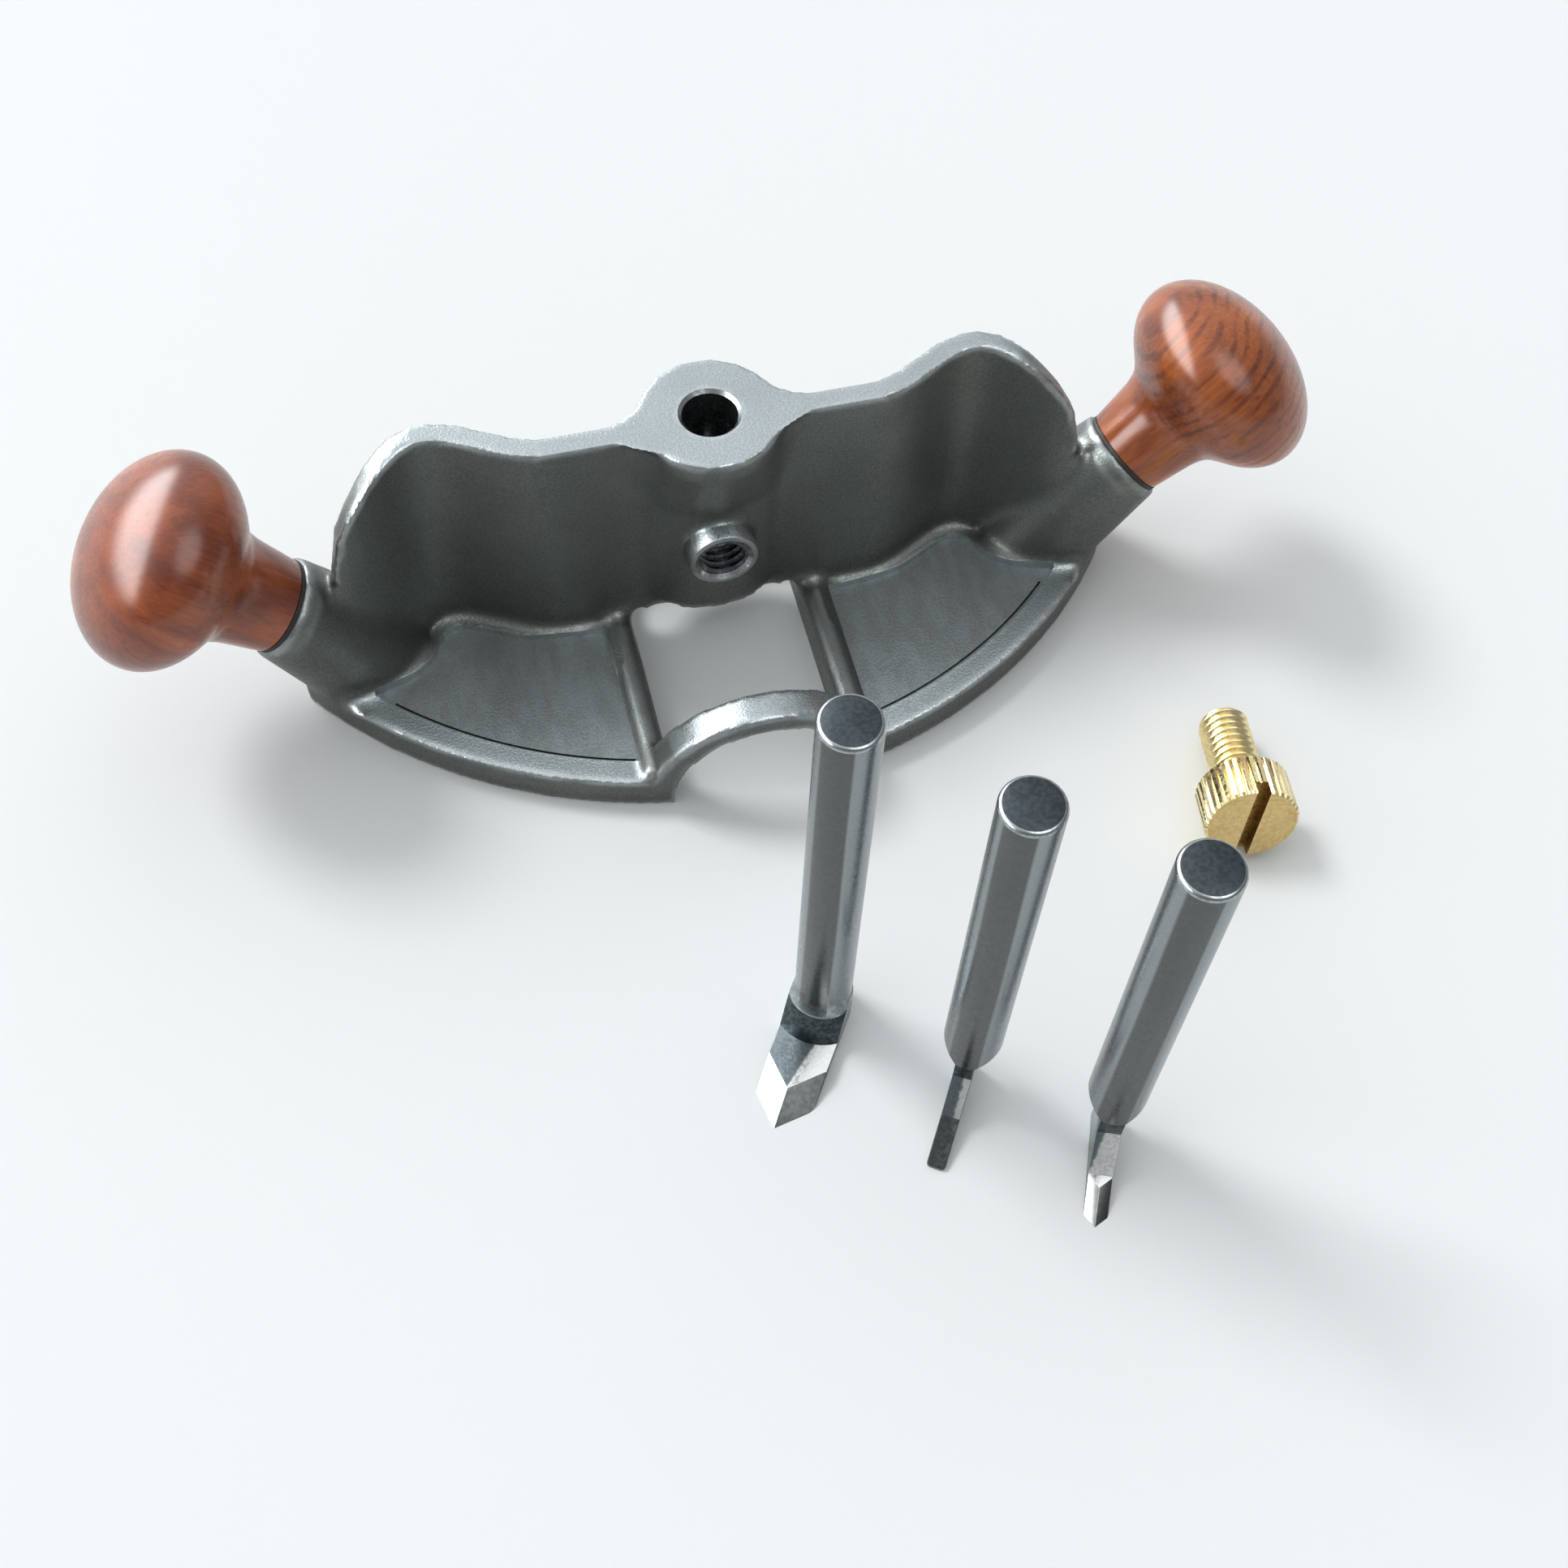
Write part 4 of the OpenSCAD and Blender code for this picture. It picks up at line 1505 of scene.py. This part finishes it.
@dataclass
class SpearCutter(Cutter):
    """The wide cutter: a collar with a lip, a dark sloped band, a level facet and the point.

    Attributes:
        half_w: Half of the foot's width.
        facet_h: Height of the facet.
        lip: Radius of the collar's lip.
        collar_h: Height of the lip.
        band_end: Radius of the band's lower end.
        corner: Rounding of the right-hand corner.
    """

    half_w: float = 5.05
    facet_h: float = 2.6
    lip: float = 5.6
    collar_h: float = 7.2
    band_end: float = 8.5
    corner: float = 4.0

    def build(self, shop: Shop) -> None:
        """Builds and dresses the cutter.

        Args:
            shop: The finishes.
        """
        foot = bmesh.new()
        plate(foot, [(0.0, 0.0), (self.reach, 0.0), (self.reach, self.facet_h),
                     (0.0, self.facet_h)], 2 * self.half_w)
        # The level facet gets a painted reflection.
        paint(foot, Steel.FACET, lambda face: face.normal.z > 0.9)
        self.point(foot)
        ease_edges(foot, 0.09, is_crisp)
        self.round_corner(foot)
        # The shells stay off each other's planes
        band = lathe([(0.0, 0.3), (self.band_end + 0.3, 0.3), (self.band_end, self.facet_h),
                      (self.lip + 0.2, self.collar_h - 0.3), (self.lip, self.collar_h),
                      (0.0, self.collar_h)])
        paint(band, Steel.OXIDE, lambda face: abs(face.normal.z) < 0.9)
        paint(band, Steel.RING,
              lambda face: face.calc_center_median().z > self.collar_h - 0.25)
        for way in (-1.0, 1.0):
            slice_off(band, (0.0, way * (self.half_w - 0.04), 0.0), (0.0, way, 0.0))
        slice_off(band, (-0.4, 0.0, 0.0), (-1.0, 0.0, 0.0))
        collar = lathe([(0.0, 0.1), (self.half_w - 0.08, 0.1),
                        (self.half_w - 0.08, self.collar_h - 0.35),
                        (self.half_w - 0.35, self.collar_h - 0.07), (0.0, self.collar_h - 0.07)])
        look = self.dress(shop)
        parts = [self.part(self.shank(self.collar_h - 1.0), "shank", look),
                 self.part(collar, "collar", look), self.part(band, "band", look),
                 self.part(foot, "foot", look)]
        parts[0].name = "wide_spear_cutter"
        self.finish(parts)

    def round_corner(self, foot: BMesh) -> None:
        """Rounds the corner between the foot's one side and its cutting edge.

        Args:
            foot: The foot's mesh.
        """
        y = self.half_w - self.corner
        middle = Vector((self.reach - y - self.corner * math.sqrt(2.0), y, 0.0))
        for angle in (56.25, 67.5, 78.75):
            out = Vector((math.cos(math.radians(angle)), math.sin(math.radians(angle)), 0.0))
            slice_off(foot, middle + self.corner * out, out)


@dataclass
class NarrowCutter(Cutter):
    """A narrow cutter: the shank tapers to a thin leg that runs out into a foot.

    Attributes:
        width: Width of the leg and foot.
        foot_h: Height of the foot where its slope ends.
        toe_h: Height of the foot at its toe.
        pointed: Whether the toe is a point, and not square.
        shoulder_low: Height of the shank's lower end.
        shoulder_high: Height where the shank starts to taper.
        leg_front: Front of the leg, from the shank's axis.
        leg_rear: Rear of the leg, from the shank's axis.
        knee_z: Height where the leg's front starts to slope.
        foot_start: Where that slope meets the foot, from the shank's axis.
    """

    width: float = 3.1
    foot_h: float = 3.0
    toe_h: float = 0.8
    pointed: bool = False
    shoulder_low: float = 12.8
    shoulder_high: float = 16.2
    leg_front: float = 4.4
    leg_rear: float = 2.2
    knee_z: float = 8.6
    foot_start: float = 9.1

    def build(self, shop: Shop) -> None:
        """Builds and dresses the cutter.

        Args:
            shop: The finishes.
        """
        shank = self.shank(self.shoulder_low)
        drop, inset = self.shoulder_high - self.shoulder_low, self.shank_r - self.width / 2
        for way in (-1.0, 1.0):
            slice_off(shank, (0.0, way * self.width / 2, self.shoulder_low),
                      Vector((0.0, way * drop, -inset)))
        leg = bmesh.new()
        plate(leg, [(-self.leg_rear, 0.0), (self.reach, 0.0), (self.reach, self.toe_h),
                    (self.foot_start, self.foot_h), (self.leg_front, self.knee_z),
                    (self.leg_front, self.shoulder_low + 1.0),
                    (-self.leg_rear, self.shoulder_low + 1.0)], self.width)
        # A pointed foot's top and every slope get the facet finish with its painted reflection.
        ground = Steel.FACET if self.pointed else Steel.TOE
        paint(leg, ground, lambda face: face.normal.z > 0.9)
        paint(leg, Steel.FACET, lambda face: 0.5 < face.normal.z < 0.9)
        paint(leg, Steel.OXIDE, lambda face: face.normal.x > 0.9
              and face.calc_center_median().z > self.knee_z)
        if self.pointed:
            bmesh.ops.bisect_plane(leg, geom=leg.verts[:] + leg.edges[:] + leg.faces[:],
                                   dist=WELD, plane_co=(self.foot_start, 0.0, 0.0),
                                   plane_no=(1.0, 0.0, 0.0))
            self.point(leg, self.foot_start)
        else:
            ease_edges(leg, 0.6, lambda edge: all(v.co.x > self.reach - 0.01 for v in edge.verts)
                       and abs(edge.verts[0].co.z - edge.verts[1].co.z) > 0.1)
        ease_edges(leg, 0.1, is_crisp)
        look = self.dress(shop)
        parts = [self.part(shank, "shank", look), self.part(leg, "leg", look)]
        parts[0].name = "narrow_" + self.name
        self.finish(parts)


class Brass(Enum):
    """Places of the finishes in the screw's list."""

    TURNED = 0
    FACED = 1
    SAWN = 2


@dataclass
class ClampScrew:
    """The brass screw: a knurled, slotted head and a coarse thread.

    Attributes:
        x: Place along the plane's length.
        y: Place towards the rear.
        turn: Direction in which it lies, in degrees.
        head_r: Radius of the head.
        head_t: Thickness of the head.
        teeth: Teeth of the knurl.
        tooth_h: Depth of the knurl.
        groove: Half of a groove's width, as a share of a tooth.
        chamfer: Chamfer of the head's ends.
        thread_r: Radius of the thread's crest.
        core_r: Radius of the thread's root.
        thread_l: Length of the thread.
        pitch: Rise of the thread in one turn.
        slot_w: Width of the slot.
        slot_d: Depth of the slot.
        slot_turn: Direction of the slot on the head, in degrees.
    """

    x: float = 78.9
    y: float = -74.0
    turn: float = 11.3
    head_r: float = 8.2
    head_t: float = 9.0
    teeth: int = 36
    tooth_h: float = 0.42
    groove: float = 0.24
    chamfer: float = 0.45
    thread_r: float = 4.5
    core_r: float = 3.7
    thread_l: float = 16.5
    pitch: float = 1.58
    slot_w: float = 2.4
    slot_d: float = 2.3
    slot_turn: float = 95.5

    @property
    def place(self) -> Matrix:
        """Lays the screw on its head's edge and its thread's end.

        Returns:
            The screw's axis, with Z to the thread's end.
        """
        tilt = math.atan((self.head_r - self.thread_r) / self.thread_l)
        rise = self.head_t * math.sin(tilt) + self.head_r * math.cos(tilt)
        return (Matrix.Translation((self.x, self.y, TABLE_Z + rise))
                @ Matrix.Rotation(math.radians(-self.turn), 4, "Z")
                @ Matrix.Rotation(-math.pi / 2 - tilt, 4, "X"))

    def ring(self, verts: Sequence[BMVert], height: float, knurled: bool) -> None:
        """Sets a ring of points to the knurl's outline, or to the chamfer's circle.

        Args:
            verts: The ring.
            height: Its height.
            knurled: Whether it has the knurl's teeth.
        """
        for vert in verts:
            angle = math.atan2(vert.co.y, vert.co.x)
            phase = (angle / math.tau * self.teeth) % 1.0
            dip = max(0.0, 1.0 - abs(phase - 0.5) / self.groove) * self.tooth_h
            radius = self.head_r - (dip if knurled else self.chamfer)
            vert.co = (radius * math.cos(angle), radius * math.sin(angle), height)

    def head(self) -> BMesh:
        """Makes the knurled head.

        Returns:
            The head's mesh.
        """
        bm = bmesh.new()
        made = bmesh.ops.create_circle(bm, cap_ends=False, radius=self.head_r,
                                       segments=8 * self.teeth)
        self.ring(made["verts"], 0.0, False)
        edges = bm.edges[:]
        for height, knurled in ((self.chamfer, True), (self.head_t - self.chamfer, True),
                                (self.head_t, False)):
            grown = bmesh.ops.extrude_edge_only(bm, edges=edges)["geom"]
            edges = [item for item in grown if isinstance(item, BMEdge)]
            self.ring([item for item in grown if isinstance(item, BMVert)], height, knurled)
        bmesh.ops.holes_fill(bm, edges=[edge for edge in bm.edges if edge.is_boundary], sides=0)
        tidy(bm)
        paint(bm, Brass.FACED, lambda face: face.normal.z < -0.9)
        return bm

    def thread(self) -> BMesh:
        """Makes the thread.

        Returns:
            The thread's mesh.
        """
        p, root, crest = self.pitch, self.core_r + 0.05, self.thread_r - 0.08
        section = [(self.core_r, 0.0), (root, 0.12 * p), (crest, 0.40 * p),
                   (self.thread_r, 0.5 * p), (crest, 0.60 * p), (root, 0.88 * p),
                   (self.core_r, p)]
        return helix(section, p, self.head_t - 1.0, self.head_t + self.thread_l + 1.0)

    def build(self, shop: Shop) -> None:
        """Builds and dresses the screw.

        Args:
            shop: The finishes.
        """
        finishes = (shop.brass, shop.brass_face, shop.brass_slot)
        screw = make_object(self.head(), "knurled_clamp_screw", self.place)
        bm = bmesh.new()
        bmesh.ops.create_cube(bm, size=1.0, matrix=Matrix.Rotation(
            math.radians(self.slot_turn), 4, "Z") @ Matrix.Diagonal(
                (4 * self.head_r, self.slot_w, 2 * self.slot_d, 1.0)))
        paint(bm, Brass.SAWN, lambda face: True)
        slot = make_object(bm, "slot_tool", self.place)
        thread = make_object(self.thread(), "thread", self.place)
        end, reach = self.head_t + self.thread_l, self.thread_r + 0.5
        bm = lathe([(0.0, self.head_t - 0.5), (reach, self.head_t - 0.5), (reach, end - 1.2),
                    (self.core_r - 0.1, end), (0.0, end)])
        trim = make_object(bm, "thread_trim", self.place)
        for obj in (screw, slot, thread, trim):
            cover(obj, finishes)
        combine(thread, trim, Combine.COMMON)
        combine(screw, slot, Combine.CUT)
        combine(screw, thread, Combine.JOIN)
        shade(screw, 28.0)
        hand_over(screw, "clamp_screw", "screw_brass", "clamp_screw")


@dataclass
class Studio:
    """Floor, soft light and the camera at the photograph's angle.

    Attributes:
        floor_colour: Colour of the floor.
        backdrop: Colour of the room.
        seen: Strength of the room where the camera sees it.
        dim: Strength of the room's light from the front.
        bright: Strength of the room's light from the bright side.
        bright_way: Where the room is bright.
        bright_span: Where the light rises from dim to bright, as along that way.
        window: Strength of the window on the left, which only shines in reflections.
        window_away: Way out of that window.
        window_span: Where the window starts and is full, as along that way.
        window_rise: Where it starts and is full, as along the upright.
        patch: Strength of the patch overhead, which only shines in reflections.
        patch_way: Where that patch is.
        patch_span: Where the patch starts and is full, as along that way.
        sky: What reflections add where the room is bright.
        sky_span: Where that starts and is full.
        key: Strength of the soft light from behind on the left.
        key_way: Direction in which that light falls.
        key_angle: Width of that light.
        camera_at: Place of the camera.
        camera_right: Direction to the right of the picture.
        camera_up: Direction to the top of the picture.
        lens: Focal length.
        sensor: Width of the sensor.
    """

    floor_colour: Colour = (0.86, 0.885, 0.895)
    backdrop: Colour = (0.965, 0.99, 1.0)
    seen: float = 0.95
    dim: float = 0.32
    bright: float = 1.08
    bright_way: Way = (-0.30, 0.60, 0.75)
    bright_span: Point = (0.1, 0.9)
    window: float = 10.0
    window_away: Way = (0.846, -0.524, 0.094)
    window_span: Point = (-0.45, -0.57)
    window_rise: Point = (0.15, 0.42)
    patch: float = 2.6
    patch_way: Way = (0.27, -0.40, 0.88)
    patch_span: Point = (0.88, 0.98)
    sky: float = 0.25
    sky_span: Point = (0.7, 0.98)
    key: float = 1.24
    key_way: Way = (0.55, -0.60, -1.0)
    key_angle: float = 18.0
    camera_at: Way = (-52.6, -224.9, 255.8)
    camera_right: Way = (0.9684, -0.2478, 0.0297)
    camera_up: Way = (0.1957, 0.8279, 0.5257)
    lens: float = 46.6
    sensor: float = 36.0

    def floor(self) -> None:
        """Lays the floor."""
        bm = bmesh.new()
        bmesh.ops.create_grid(bm, x_segments=1, y_segments=1, size=20000.0)
        obj = make_object(bm, "floor", Matrix.Translation((0.0, 0.0, TABLE_Z)))
        material, graph, shader, where = Finish("pale_floor", 0.6, 0.0).start()
        paler = tuple(min(1.0, 1.02 * c) for c in self.floor_colour)
        colour = graph.blend(graph.noise(where, 4.0), self.floor_colour, paler)
        graph.feed(shader, Base_Color=colour, Roughness=0.6, Specular_IOR_Level=0.2)
        cover(obj, [material])

    def light(self) -> None:
        """Sets the light."""
        world = bpy.data.worlds.new("studio")
        bpy.context.scene.world = world
        world.use_nodes = True
        graph = Graph(world.node_tree)
        way = graph.add("TexCoord").outputs["Generated"]
        ahead = graph.along(way, self.bright_way)
        up = graph.along(way, (0.0, 0.0, 1.0))
        window = graph.times(
            graph.spread(graph.along(way, self.window_away), *self.window_span),
            graph.spread(up, *self.window_rise, 0.0, self.window))
        patch = graph.spread(graph.along(way, self.patch_way), *self.patch_span, 0.0, self.patch)
        sky = graph.spread(ahead, *self.sky_span, 0.0, self.sky)
        path = graph.add("LightPath")
        shine = graph.times(graph.plus(graph.plus(window, patch), sky),
                            path.outputs["Is Glossy Ray"])
        glow = graph.plus(graph.spread(ahead, *self.bright_span, self.dim, self.bright), shine)
        seen = graph.times(path.outputs["Is Camera Ray"], self.seen)
        unseen = graph.times(graph.minus(1.0, path.outputs["Is Camera Ray"]), glow)
        back = graph.feed(graph.add("Background"), Color=(*self.backdrop, 1.0),
                          Strength=graph.plus(seen, unseen))
        graph.feed(graph.add("OutputWorld"), Surface=back.outputs["Background"])
        lamp = bpy.data.lights.new("window", "SUN")
        lamp.energy = self.key
        lamp.angle = math.radians(self.key_angle)
        obj = bpy.data.objects.new("window", lamp)
        obj.rotation_euler = Vector(self.key_way).to_track_quat("-Z", "Y").to_euler()
        obj.visible_glossy = False
        bpy.context.scene.collection.objects.link(obj)

    def camera(self) -> None:
        """Sets the camera."""
        lens = bpy.data.cameras.new("camera")
        lens.lens = self.lens
        lens.sensor_width = self.sensor
        lens.clip_start = 0.01
        obj = bpy.data.objects.new("camera", lens)
        right, up = Vector(self.camera_right), Vector(self.camera_up)
        turn = Matrix((right, up, right.cross(up))).transposed()
        obj.matrix_world = Matrix.Translation(Vector(self.camera_at) * MM) @ turn.to_4x4()
        bpy.context.scene.collection.objects.link(obj)
        bpy.context.scene.camera = obj

    def build(self) -> None:
        """Builds the studio."""
        self.floor()
        self.light()
        self.camera()
        bpy.context.scene.view_settings.view_transform = "Standard"


LEFT_WOOD = WoodFinish(
    "left_knob_wood", 0.42, 0.0,
    stops=((0.05, (0.10, 0.017, 0.005)), (0.34, (0.20, 0.038, 0.010)),
           (0.55, (0.32, 0.070, 0.018)), (0.85, (0.52, 0.145, 0.036))),
    across=(0.8, 0.6, 0.0), line_w=0.0068, lines=0.16, blur=1.0, cloudy=0.72)
RIGHT_WOOD = WoodFinish(
    "right_knob_wood", 0.42, 0.0,
    stops=((0.05, (0.095, 0.018, 0.004)), (0.30, (0.21, 0.043, 0.009)),
           (0.52, (0.38, 0.092, 0.019)), (0.85, (0.64, 0.205, 0.045))),
    across=(0.8, -0.6, 0.12), line_w=0.0026, sway=0.011, lines=0.22, blur=0.7,
    cloudy=0.6)


def main() -> None:
    """Builds the studio and the pieces in order."""
    logging.basicConfig(level=logging.INFO, format="%(name)s: %(message)s")
    Studio().build()
    shop = Shop()
    body = BodyCasting()
    body.build(shop)
    body.build_thread(shop)
    Knob(Side.LEFT, LEFT_WOOD).build(shop)
    Knob(Side.RIGHT, RIGHT_WOOD).build(shop)
    SpearCutter("spear_cutter", x=-0.9, y=-85.4, turn=236.0, reach=23.6).build(shop)
    NarrowCutter("square_cutter", x=18.7, y=-103.2, turn=237.5, reach=17.2, border=0.0004,
                 lean=0.0).build(shop)
    NarrowCutter("point_cutter", x=38.0, y=-117.5, turn=247.0, reach=17.1, border=0.0008,
                 lean=0.30, width=3.9, foot_h=2.4, toe_h=2.4, pointed=True).build(shop)
    ClampScrew().build(shop)


if __name__ == "__main__":
    main()
